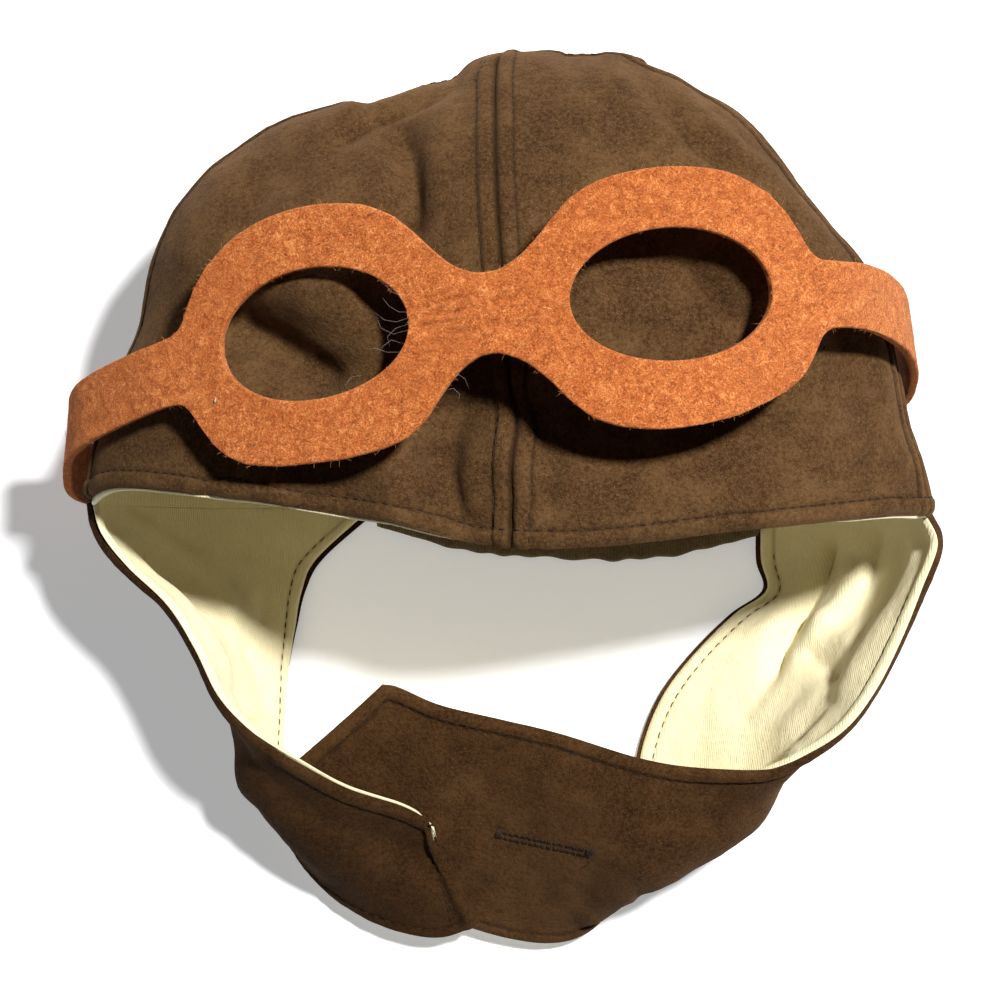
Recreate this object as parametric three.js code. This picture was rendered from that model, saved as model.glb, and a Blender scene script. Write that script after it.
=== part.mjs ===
// A child's aviator hat, lying on the back of its crown with its ear flaps fastened under the chin.
// Brown suede outside, cream cotton inside, and a pair of felt goggles on a strap round the crown.
// Millimetres, +Z up, +Y towards the top of the crown, +X towards the wearer's left.

import * as THREE from "three";

// Cloth
const SUEDE = 1.2;
const COTTON = 1.0;
const PLY_GAP = 0.3; // between suede and cotton
const SEAM_GAP = 0.4; // between two pieces sewn edge to edge
const HEM_GAP = 1.0; // between the crown and what is sewn to its rim
const STRAP_GAP = 1.2; // between the crown and the strap beneath it
const FELT = 2.2;

// Crown
const HALF_WIDTH = 98; // from the middle to a side fold
const CROWN_LENGTH = 104.2; // from the rim to the top
const FOLD_HEIGHT = 46; // of the side folds above the table
const FRONT_RISE = 52; // of the front above the side folds
const FRONT_SKEW = 0.07; // share by which the wearer's left stands higher than the right
const FRONT_POWER = 0.96; // 1 is an ellipse, less is squarer
const BACK_POWER = 0.78;
const CROWN_EYE = 1.3; // radius left open where the panels' tips meet
const REST_BLEND = 2; // how softly the crown's cloth settles on the table
const HOLLOW_SHARE = 1.2; // half width of the crown's hollow over the strap, in strap widths
const FOLDS_FULL_FROM = 0.625; // share of the rise above which the front's folds have their full depth

// Flaps
const FLAP_REACH = 110; // from the rim to the chin's lowest edge
const NECK_RIGHT_TURN = 256; // degrees round the rim where the right flap meets the neck
const NECK_LEFT_TURN = 303;
const CASING_WIDTH = 7; // of the gathered casing along the neck
const CASING_END = 0.55; // share of that width at its two ends
const GATHER_PITCH = 7.5;
const GATHER_DEPTH = 1.1;
const FLAP_REST_BLEND = 0.5; // how softly a flap's cloth settles on the table

// Goggles
const STRAP_WIDTH = 14.5;
const LENS_HALF_LENGTH = 22.4; // of an eye hole
const LENS_HALF_HEIGHT = 14.4;
const RIM_SIDE = 8.5; // felt beside an eye hole
const RIM_ABOVE = 14.2; // felt above and below it
const BRIDGE_HEIGHT = 17.8;
const RIGHT_EYE_SHIFT = -1.2; // of an eye hole's middle along the felt, from its row of the path
const LEFT_EYE_SHIFT = 0.4;

const FINISHES = {
  suede: { color: 0x4a3424, roughness: 0.95 },
  cotton: { color: 0xe6dfba, roughness: 0.9 },
  felt: { color: 0xd0682c, roughness: 1.0 },
};

const HALF_TURN = Math.PI;
const DEGREES_ROUND = 360;
const radians = THREE.MathUtils.degToRad;
const degrees = THREE.MathUtils.radToDeg;
const outerFace = PLY_GAP / 2 + SUEDE;
const innerFace = PLY_GAP / 2 + COTTON;

// Cross-sections of the crown, from the rim (0) to the top (1) of a quarter ellipse. Left, right, high and
// deep are shares of that ellipse's own half width, rise and drop; aside is a share of the half width.
const CROWN_SECTIONS = [
  { climb: 0.0, right: 1.01, left: 0.995, high: 0.9, deep: 1.0, aside: 0.03 },
  { climb: 0.12, right: 0.97, left: 0.965, high: 0.98, deep: 1.0, aside: 0.02 },
  { climb: 0.25, right: 0.935, left: 0.985, high: 1.06, deep: 1.07, aside: 0.01 },
  { climb: 0.35, right: 0.965, left: 1.005, high: 1.1, deep: 1.16, aside: 0.003 },
  { climb: 0.45, right: 0.985, left: 0.99, high: 1.12, deep: 1.29, aside: -0.006 },
  { climb: 0.55, right: 0.98, left: 1.035, high: 1.12, deep: 1.42, aside: -0.01 },
  { climb: 0.65, right: 0.9, left: 1.115, high: 1.1, deep: 1.5, aside: -0.01 },
  { climb: 0.75, right: 0.62, left: 1.18, high: 1.08, deep: 1.5, aside: -0.01 },
  { climb: 0.85, right: 0.32, left: 1.5, high: 1.04, deep: 1.4, aside: -0.005 },
  { climb: 0.93, right: 0.3, left: 2.4, high: 1.0, deep: 1.2, aside: 0.0 },
  { climb: 1.0, right: 0.3, left: 2.6, high: 1.0, deep: 1.2, aside: 0.01 },
];

// The rim, by degrees round the crown from the wearer's left over the front: how far it reaches
// down the face, as a share of the crown's length.
const RIM_LINE = [
  { turn: 0, reach: 0.036 },
  { turn: 30, reach: 0.034 },
  { turn: 60, reach: 0.064 },
  { turn: 82, reach: 0.1 },
  { turn: 94, reach: 0.094 },
  { turn: 105, reach: 0.047 },
  { turn: 125, reach: 0.0 },
  { turn: 155, reach: -0.028 },
  { turn: 180, reach: 0.004 },
  { turn: 215, reach: 0.015 },
  { turn: 256, reach: 0.02 },
  { turn: 268, reach: 0.06 },
  { turn: 285, reach: 0.066 },
  { turn: 303, reach: 0.04 },
  { turn: 335, reach: 0.036 },
  { turn: DEGREES_ROUND, reach: 0.036 },
];

// Seams of the crown, by degrees round the rim.
const SEAMS = { left: 14, front: 90, right: 176, back: 270 };

// Dents and swellings of the front. Places and lengths are shares of the half width across and the
// crown's length along; depth is a share of the rise, below zero for a dent.
const FRONT_FOLDS = [
  { across: -0.21, along: 0.62, heading: 88, length: 0.2, width: 0.11, depth: -0.11 },
  { across: -0.3, along: 0.8, heading: 27, length: 0.24, width: 0.11, depth: -0.13 },
  { across: -0.11, along: 0.05, heading: 105, length: 0.24, width: 0.11, depth: -0.17 },
  { across: -0.22, along: 0.05, heading: 100, length: 0.14, width: 0.1, depth: 0.06 },
  { across: -0.36, along: 0.03, heading: 62, length: 0.14, width: 0.1, depth: -0.09 },
  { across: -0.46, along: 0.3, heading: -22, length: 0.3, width: 0.11, depth: -0.12 },
  { across: 0.48, along: 0.78, heading: -45, length: 0.3, width: 0.1, depth: 0.05 },
];

// Each flap from the crown to the end of its chin tab. The front edge starts at the side fold and the
// rear edge at the neck. Across is a share of the half width, along of the flaps' reach and up of the side
// folds' height. Belly, of that height too, is how far the cloth bows out between the edges, and over is how
// far the right tab has come to lie on the left one.
const RIGHT_FLAP = [
  { front: [-0.96, -0.073, 1.02], rear: [-0.45, -0.132, 0.03], belly: 0.32, over: 0 },
  { front: [-0.897, -0.145, 1.04], rear: [-0.495, -0.204, 0.03], belly: 0.22, over: 0 },
  { front: [-0.8, -0.227, 1.07], rear: [-0.516, -0.282, 0.03], belly: 0.15, over: 0 },
  { front: [-0.734, -0.319, 1.09], rear: [-0.536, -0.373, 0.03], belly: 0.1, over: 0 },
  { front: [-0.679, -0.418, 1.09], rear: [-0.547, -0.464, 0.03], belly: 0.08, over: 0 },
  { front: [-0.609, -0.488, 1.07], rear: [-0.556, -0.564, 0.03], belly: 0.1, over: 0 },
  { front: [-0.539, -0.535, 0.98], rear: [-0.551, -0.673, 0.035], belly: 0.15, over: 0 },
  { front: [-0.46, -0.576, 0.87], rear: [-0.508, -0.782, 0.045], belly: 0.17, over: 0.1 },
  { front: [-0.366, -0.619, 0.7], rear: [-0.418, -0.876, 0.055], belly: 0.13, over: 0.5 },
  { front: [-0.245, -0.656, 0.53], rear: [-0.292, -0.943, 0.065], belly: 0.06, over: 1 },
  { front: [-0.187, -0.688, 0.45], rear: [-0.152, -0.97, 0.11], belly: 0.04, over: 1 },
  { front: [-0.174, -0.711, 0.44], rear: [-0.049, -0.935, 0.165], belly: 0.02, over: 1 },
];
const LEFT_FLAP = [
  { front: [1.054, -0.096, 1.02], rear: [0.653, -0.136, 0.03], belly: 0.34, over: 0 },
  { front: [1.016, -0.191, 1.04], rear: [0.669, -0.204, 0.03], belly: 0.26, over: 0 },
  { front: [0.966, -0.297, 1.07], rear: [0.585, -0.26, 0.03], belly: 0.22, over: 0 },
  { front: [0.905, -0.403, 1.09], rear: [0.483, -0.351, 0.03], belly: 0.2, over: 0 },
  { front: [0.833, -0.488, 1.09], rear: [0.406, -0.442, 0.03], belly: 0.22, over: 0 },
  { front: [0.739, -0.545, 1.05], rear: [0.358, -0.545, 0.03], belly: 0.26, over: 0 },
  { front: [0.646, -0.575, 1.01], rear: [0.336, -0.655, 0.03], belly: 0.3, over: 0 },
  { front: [0.483, -0.577, 0.91], rear: [0.321, -0.764, 0.035], belly: 0.31, over: 0 },
  { front: [0.34, -0.559, 0.84], rear: [0.286, -0.882, 0.045], belly: 0.28, over: 0 },
  { front: [0.145, -0.509, 0.72], rear: [0.214, -0.973, 0.065], belly: 0.18, over: 0 },
  { front: [0.0, -0.48, 0.65], rear: [0.082, -0.995, 0.085], belly: 0.09, over: 0 },
  { front: [-0.147, -0.45, 0.61], rear: [-0.142, -0.936, 0.1], belly: 0.05, over: 0 },
  { front: [-0.244, -0.414, 0.59], rear: [-0.336, -0.8, 0.15], belly: 0.03, over: 0 },
  { front: [-0.289, -0.405, 0.59], rear: [-0.52, -0.591, 0.3], belly: 0.02, over: 0 },
];

// The middle line of the felt loop, over the front from the wearer's right and back under the crown.
// Across is a share of the half width and along of the crown's length. Up goes from 0 on the table to 1 at
// the side folds' height and 2 at the front's. Lean turns the felt about that line, in degrees.
const GOGGLE_PATH = [
  { across: -1.035, along: 0.134, up: 0.96, lean: -6 },
  { across: -0.985, along: 0.187, up: 1.31, lean: 0 },
  { across: -0.851, along: 0.242, up: 1.584, lean: 4 },
  { across: -0.714, along: 0.282, up: 1.761, lean: 0 },
  { across: -0.408, along: 0.351, up: 2.017, lean: -2 },
  { across: -0.015, along: 0.389, up: 2.203, lean: -2 },
  { across: 0.377, along: 0.426, up: 2.23, lean: -2 },
  { across: 0.7, along: 0.432, up: 2.035, lean: 0 },
  { across: 0.833, along: 0.43, up: 1.832, lean: 0 },
  { across: 0.931, along: 0.394, up: 1.495, lean: -6 },
  { across: 0.978, along: 0.335, up: 1.08, lean: -10 },
  { across: 0.975, along: 0.279, up: 0.54, lean: -6 },
  { across: 0.878, along: 0.249, up: 0.12, lean: 0 },
  { across: 0.606, along: 0.22, up: 0.02, lean: 0 },
  { across: 0, along: 0.154, up: 0.02, lean: 0 },
  { across: -0.606, along: 0.082, up: 0.02, lean: 0 },
  { across: -0.898, along: 0.049, up: 0.14, lean: 0 },
  { across: -1.03, along: 0.066, up: 0.52, lean: -6 },
];
const LENS_ROWS = { right: 4, left: 6 }; // rows of the path at the middle of each eye hole
const STRAP_ROWS = { right: 15, left: 13 }; // rows between which the strap lies straight on the table

// The felt's cut edges, above and below the wearer's right and left eye. Each is the share by which an edge
// has risen from the strap's or bridge's to the rim's greatest height. Inwards is the distance from the
// eye's middle towards the bridge, in half lengths of a rim.
const RIM_CUT = [
  { inwards: -1.3, rightAbove: 0, rightBelow: 0, leftAbove: 0, leftBelow: 0 },
  { inwards: -1.2, rightAbove: 0.01, rightBelow: 0.01, leftAbove: 0.01, leftBelow: 0.014 },
  { inwards: -1.12, rightAbove: 0.022, rightBelow: 0.041, leftAbove: 0.018, leftBelow: 0.1 },
  { inwards: -1.06, rightAbove: 0.052, rightBelow: 0.145, leftAbove: 0.06, leftBelow: 0.29 },
  { inwards: -1, rightAbove: 0.125, rightBelow: 0.335, leftAbove: 0.149, leftBelow: 0.452 },
  { inwards: -0.93, rightAbove: 0.275, rightBelow: 0.535, leftAbove: 0.307, leftBelow: 0.56 },
  { inwards: -0.84, rightAbove: 0.446, rightBelow: 0.69, leftAbove: 0.484, leftBelow: 0.66 },
  { inwards: -0.7, rightAbove: 0.635, rightBelow: 0.822, leftAbove: 0.676, leftBelow: 0.765 },
  { inwards: -0.45, rightAbove: 0.838, rightBelow: 0.924, leftAbove: 0.867, leftBelow: 0.905 },
  { inwards: -0.15, rightAbove: 0.952, rightBelow: 0.972, leftAbove: 0.944, leftBelow: 0.992 },
  { inwards: 0.15, rightAbove: 0.971, rightBelow: 0.984, leftAbove: 0.94, leftBelow: 1.017 },
  { inwards: 0.45, rightAbove: 0.899, rightBelow: 0.932, leftAbove: 0.857, leftBelow: 0.953 },
  { inwards: 0.65, rightAbove: 0.745, rightBelow: 0.832, leftAbove: 0.7, leftBelow: 0.819 },
  { inwards: 0.8, rightAbove: 0.533, rightBelow: 0.648, leftAbove: 0.484, leftBelow: 0.6 },
  { inwards: 0.92, rightAbove: 0.326, rightBelow: 0.406, leftAbove: 0.292, leftBelow: 0.365 },
  { inwards: 1.05, rightAbove: 0.138, rightBelow: 0.178, leftAbove: 0.13, leftBelow: 0.165 },
  { inwards: 1.18, rightAbove: 0.03, rightBelow: 0.044, leftAbove: 0.025, leftBelow: 0.044 },
  { inwards: 1.27, rightAbove: 0, rightBelow: 0, leftAbove: 0, leftBelow: 0 },
];

// How finely the pieces are divided
const FRONT_STEPS = 17; // across one front panel
const BACK_STEPS = 8; // across one back panel
const CLIMB_STEPS = 13;
const FLAP_STEPS_ALONG = 20;
const FLAP_STEPS_ACROSS = 8;
const HOLE_STEPS = 12;
const RIM_STEPS = 7; // beside an eye hole, to where the rim has run out
const STRAP_STEPS = 34;
const FELT_STEPS_ACROSS = 2; // on each side of the middle line
const CASING_STEPS = 24;
const RULER_STEPS = 24; // between two rows of the goggles' path, where distances along it are measured

// A smooth curve through evenly spaced values, at a place counted in values.
function through(values, place, closed = false) {
  const count = values.length;
  const whole = Math.min(Math.floor(place), closed ? Infinity : count - 2);
  const at = (k) => values[closed ? (k + count * 2) % count : Math.max(0, Math.min(count - 1, k))];
  const f = place - whole;
  const [a, b, c, d] = [at(whole - 1), at(whole), at(whole + 1), at(whole + 2)];
  return b + 0.5 * f * (c - a + f * (2 * a - 5 * b + 4 * c - d + f * (3 * (b - c) + d - a)));
}

// A smooth curve through the named column of a table, at a value of its key column.
function lookUp(table, key, column, value) {
  let k = 0;
  while (k < table.length - 2 && table[k + 1][key] < value) k += 1;
  const share = (value - table[k][key]) / (table[k + 1][key] - table[k][key]);
  return through(table.map((row) => row[column]), k + THREE.MathUtils.clamp(share, 0, 1));
}

const power = (value, exponent) => Math.sign(value) * Math.abs(value) ** exponent;

// The larger of two numbers, with the corner between them rounded where they differ by less than soft.
const softMax = (a, b, soft) => Math.max(a, b) + (Math.max(soft - Math.abs(a - b), 0) ** 2) / (4 * soft);

// The back strap's middle line on the table, at a place across.
function strapAlong(x) {
  const [leftEnd, rightEnd] = [GOGGLE_PATH[STRAP_ROWS.left], GOGGLE_PATH[STRAP_ROWS.right]];
  const share = (x / HALF_WIDTH - rightEnd.across) / (leftEnd.across - rightEnd.across);
  return CROWN_LENGTH * THREE.MathUtils.lerp(rightEnd.along, leftEnd.along, share);
}

// The lowest that the crown's cloth may lie: on the table, or on the strap where that passes below.
function restHeight(x, y) {
  const bump = Math.exp(-(((y - strapAlong(x)) / (HOLLOW_SHARE * STRAP_WIDTH)) ** 4));
  return outerFace + (FELT + STRAP_GAP) * bump;
}

function foldDepth(x, y) {
  let depth = 0;
  for (const fold of FRONT_FOLDS) {
    const dx = x / HALF_WIDTH - fold.across;
    const dy = y / CROWN_LENGTH - fold.along;
    const [c, s] = [Math.cos(radians(fold.heading)), Math.sin(radians(fold.heading))];
    const run = (dx * c + dy * s) / fold.length;
    const side = (dy * c - dx * s) / fold.width;
    depth += FRONT_RISE * fold.depth * Math.exp(-run * run - side * side);
  }
  return depth;
}

// A point of the crown's middle layer. Turn is in radians from the wearer's left over the front.
function crownPoint(turn, climb) {
  const full = 2 * HALF_TURN;
  const round = ((turn % full) + full) % full;
  const [c, s] = [Math.cos(round), Math.sin(round)];
  const shape = (column) => lookUp(CROWN_SECTIONS, "climb", column, climb);
  const ring = Math.cos((climb * HALF_TURN) / 2);
  const rise = Math.sin((climb * HALF_TURN) / 2);
  const exponent = s >= 0 ? FRONT_POWER : BACK_POWER;
  const x = HALF_WIDTH * (shape("aside") + shape(c > 0 ? "left" : "right") * ring * power(c, exponent));
  const reach = lookUp(RIM_LINE, "turn", "reach", degrees(round));
  const y = CROWN_LENGTH * (rise - reach * (1 - rise) ** 2);
  if (s >= 0) {
    const up = FRONT_RISE * shape("high") * ring * power(s, exponent) * (1 + FRONT_SKEW * c);
    const folds = foldDepth(x, y) * Math.min(1, (s * ring) / FOLDS_FULL_FROM);
    return new THREE.Vector3(x, y, FOLD_HEIGHT + up + folds);
  }
  const down = FOLD_HEIGHT * shape("deep") * ring * power(-s, exponent);
  return new THREE.Vector3(x, y, softMax(FOLD_HEIGHT - down, restHeight(x, y), REST_BLEND));
}

// The flaps' rows as points, with the rim's two ends in front of them.
function flapRows(table, foldTurn, neckTurn) {
  const place = ([across, along, up]) =>
    new THREE.Vector3(across * HALF_WIDTH, along * FLAP_REACH, up * FOLD_HEIGHT);
  const rows = table.map((row) => ({
    front: place(row.front),
    rear: place(row.rear),
    belly: row.belly * FOLD_HEIGHT,
    over: row.over * (innerFace + outerFace),
  }));
  rows.unshift({ front: crownPoint(foldTurn, 0), rear: crownPoint(neckTurn, 0), belly: 0, over: 0 });
  // At the rim the belly goes on growing by half of what it grew over the rows before it.
  rows[0].belly = THREE.MathUtils.lerp(rows[2].belly, rows[1].belly, 1.5);
  return rows;
}

// A flap's middle layer: run goes from the crown (0) to the end of the tab (1), and share from the
// front edge (0) to the rear edge (1). side is 1 on the wearer's left and -1 on the right.
function flapSurface(table, foldTurn, neckTurn, side) {
  const rows = flapRows(table, foldTurn, neckTurn);
  const vector = (key, place) =>
    new THREE.Vector3(...["x", "y", "z"].map((axis) => through(rows.map((r) => r[key][axis]), place)));
  const column = (key) => rows.map((r) => r[key]);
  const rootRows = 3; // rows over which the rim's own bend fades into the belly's
  const frame = (place) => {
    const front = vector("front", place);
    const chord = vector("rear", place).sub(front);
    const before = Math.max(0, place - 0.5);
    const after = Math.min(rows.length - 1, place + 0.5);
    const along = vector("front", after).add(vector("rear", after));
    along.sub(vector("front", before)).sub(vector("rear", before));
    const out = chord.clone().cross(along).multiplyScalar(-side).normalize();
    return { front, chord, out, length: chord.length() };
  };
  const root = frame(0);
  return (share, run) => {
    const place = run * (rows.length - 1);
    const { front, chord, out, length } = frame(place);
    const fade = THREE.MathUtils.smoothstep(place, 0, rootRows);
    const rim = crownPoint(THREE.MathUtils.lerp(foldTurn, neckTurn, share), 0).sub(root.front);
    const rimShare = rim.dot(root.chord) / root.length ** 2;
    const rimOff = (rim.dot(root.out) * length) / root.length;
    const rimSlip = rim.dot(root.chord.clone().cross(root.out).normalize()) * (1 - fade);
    const bow = through(column("belly"), place) * Math.sin(HALF_TURN * share);
    const slide = chord.clone().cross(out).normalize().multiplyScalar(rimSlip);
    const point = front.clone().addScaledVector(chord, THREE.MathUtils.lerp(rimShare, share, fade));
    point.addScaledVector(out, THREE.MathUtils.lerp(rimOff, bow, fade)).add(slide);
    point.addScaledVector(out, through(column("over"), place));
    point.z = softMax(point.z, outerFace, FLAP_REST_BLEND);
    return point;
  };
}

const rightFlap = flapSurface(RIGHT_FLAP, HALF_TURN, radians(NECK_RIGHT_TURN), -1);
const leftFlap = flapSurface(LEFT_FLAP, 2 * HALF_TURN, radians(NECK_LEFT_TURN), 1);

// The unit normal of a surface, facing the way that v crossed with u faces.
function normalOf(surface, u, v, step = 2e-3) {
  const along = surface(u + step, v).sub(surface(u - step, v));
  const [low, high] = [Math.max(0, v - step), Math.min(1, v + step)];
  return surface(u, high).sub(surface(u, low)).cross(along).normalize();
}

// A closed solid between two offsets of a surface. us and vs list the places to sample, and loops says
// whether the last u meets the first. pull moves a border's points inwards from a seam.
function sheet(surface, us, vs, inner, outer, { loops = false, tip = null, pull = {} } = {}) {
  const [columns, rows] = [us.length, vs.length];
  const points = [];
  const inwards = (u, v, du, dv, gap) => {
    const to = surface(u + du, v + dv).sub(surface(u, v));
    return to.normalize().multiplyScalar(gap);
  };
  for (const offset of [outer, inner])
    us.forEach((u, i) =>
      vs.forEach((v, j) => {
        const p = surface(u, v).addScaledVector(normalOf(surface, u, v), offset);
        const small = 1e-3;
        if (pull.u && i === 0) p.add(inwards(u, v, small, 0, pull.u));
        if (pull.u && i === columns - 1) p.add(inwards(u, v, -small, 0, pull.u));
        if (pull.v0 && j === 0) p.add(inwards(u, v, 0, small, pull.v0));
        points.push(p.x, p.y, p.z);
      }),
    );
  const poles = points.length / 3;
  if (tip) for (const p of [outer, inner]) points.push(tip.x, tip.y + p, tip.z);
  const index = [];
  const quad = (a, b, c, d) => index.push(a, c, b, a, d, c);
  const at = (layer, i, j) => (layer * columns + (i % columns)) * rows + j;
  const cells = loops ? columns : columns - 1;
  for (let i = 0; i < cells; i += 1) {
    for (let j = 0; j < rows - 1; j += 1) {
      quad(at(0, i, j), at(0, i + 1, j), at(0, i + 1, j + 1), at(0, i, j + 1));
      quad(at(1, i, j), at(1, i, j + 1), at(1, i + 1, j + 1), at(1, i + 1, j));
    }
    quad(at(0, i, 0), at(1, i, 0), at(1, i + 1, 0), at(0, i + 1, 0));
    const top = rows - 1;
    if (tip) {
      index.push(at(0, i, top), poles, at(0, i + 1, top));
      index.push(at(1, i, top), at(1, i + 1, top), poles + 1);
    } else quad(at(0, i, top), at(0, i + 1, top), at(1, i + 1, top), at(1, i, top));
  }
  if (!loops)
    for (let j = 0; j < rows - 1; j += 1) {
      const last = columns - 1;
      quad(at(0, 0, j), at(0, 0, j + 1), at(1, 0, j + 1), at(1, 0, j));
      quad(at(0, last, j), at(1, last, j), at(1, last, j + 1), at(0, last, j + 1));
    }
  return solid(points, index);
}

function solid(points, index) {
  const geometry = new THREE.BufferGeometry();
  geometry.setAttribute("position", new THREE.Float32BufferAttribute(points, 3));
  geometry.setIndex(index);
  geometry.computeVertexNormals();
  return geometry;
}

const spread = (from, to, steps) =>
  Array.from({ length: steps + 1 }, (_, k) => from + ((to - from) * k) / steps);

const PANELS = [
  { name: "front_panel_left", from: SEAMS.left, to: SEAMS.front, steps: FRONT_STEPS },
  { name: "front_panel_right", from: SEAMS.front, to: SEAMS.right, steps: FRONT_STEPS },
  { name: "back_panel_right", from: SEAMS.right, to: SEAMS.back, steps: BACK_STEPS },
  { name: "back_panel_left", from: SEAMS.back, to: SEAMS.left + DEGREES_ROUND, steps: BACK_STEPS },
];
const panelTurns = (from, to, steps) => spread(radians(from), radians(to), steps);
// Closer together towards the top, where the crown closes in.
const crownClimbs = spread(0, 1, CLIMB_STEPS).map((share) => {
  const tip = 1 - (2 * CROWN_EYE) / (HALF_TURN * HALF_WIDTH);
  return (tip * (share + Math.sin((share * HALF_TURN) / 2))) / 2;
});

// One panel of the crown between two seams.
function crownPanel({ from, to, steps }) {
  return sheet(crownPoint, panelTurns(from, to, steps), crownClimbs, PLY_GAP / 2, outerFace, {
    pull: { u: SEAM_GAP / 2 },
  });
}

// The crown's lining: one bowl, which is divided where the panels are.
function crownLining() {
  const turns = PANELS.flatMap(({ from, to, steps }) => panelTurns(from, to, steps).slice(0, -1));
  return sheet(crownPoint, turns, crownClimbs, -innerFace, -PLY_GAP / 2, {
    loops: true,
    tip: crownPoint(0, 1),
  });
}

function flapSheet(surface, side, inner, outer) {
  const shares = spread(0, 1, FLAP_STEPS_ACROSS);
  const facing = side > 0 ? surface : (u, v) => surface(1 - u, v);
  return sheet(facing, shares, spread(0, 1, FLAP_STEPS_ALONG), inner, outer, {
    pull: { v0: HEM_GAP },
  });
}

// The casing along the neck: cloth over elastic, drawn up into small gathers.
function neckCasing() {
  const turns = spread(radians(NECK_RIGHT_TURN), radians(NECK_LEFT_TURN), CASING_STEPS);
  const surface = (turn, share) => {
    const start = crownPoint(turn, 0);
    const gather = Math.sin((2 * HALF_TURN * start.x) / GATHER_PITCH) * share;
    const middle = Math.sin((HALF_TURN * (turn - turns[0])) / (turns[turns.length - 1] - turns[0]));
    const width = CASING_WIDTH * THREE.MathUtils.lerp(CASING_END, 1, middle);
    start.y -= THREE.MathUtils.lerp(HEM_GAP, width, share);
    start.z += (GATHER_DEPTH * (1 + gather)) / 2;
    return start;
  };
  const reversed = (u, v) => surface(u, 1 - v);
  return sheet(reversed, turns, [0, 0.5, 1], -innerFace, outerFace, { pull: { u: HEM_GAP } });
}

const heightOf = (up) => Math.min(up, 1) * FOLD_HEIGHT + Math.max(up - 1, 0) * FRONT_RISE;

// The felt loop's middle line, and the felt's own directions at a place counted in rows of the path.
function goggleFrame(place) {
  const column = (key) => GOGGLE_PATH.map((row) => row[key]);
  const at = (where) =>
    new THREE.Vector3(
      through(column("across"), where, true) * HALF_WIDTH,
      through(column("along"), where, true) * CROWN_LENGTH,
      Math.max(heightOf(through(column("up"), where, true)), FELT / 2),
    );
  const nearby = 0.05; // rows
  const tangent = at(place + nearby).sub(at(place - nearby)).normalize();
  const across = new THREE.Vector3(0, 1, 0).addScaledVector(tangent, -tangent.y).normalize();
  across.applyAxisAngle(tangent, radians(through(column("lean"), place, true)));
  return { centre: at(place), across, out: tangent.clone().cross(across) };
}

// Places along the loop by distance: a table of running lengths, read both ways.
function goggleRuler() {
  const rows = GOGGLE_PATH.length;
  const lengths = [0];
  let last = goggleFrame(0).centre;
  for (let k = 1; k <= rows * RULER_STEPS; k += 1) {
    const next = goggleFrame(k / RULER_STEPS).centre;
    lengths.push(lengths[k - 1] + next.distanceTo(last));
    last = next;
  }
  const total = lengths[lengths.length - 1];
  const placeAt = (distance) => {
    const d = ((distance % total) + total) % total;
    let k = 0;
    while (k < lengths.length - 2 && lengths[k + 1] < d) k += 1;
    return (k + (d - lengths[k]) / (lengths[k + 1] - lengths[k])) / RULER_STEPS;
  };
  return { total, placeAt, distanceOf: (row) => lengths[row * RULER_STEPS] };
}

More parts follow.
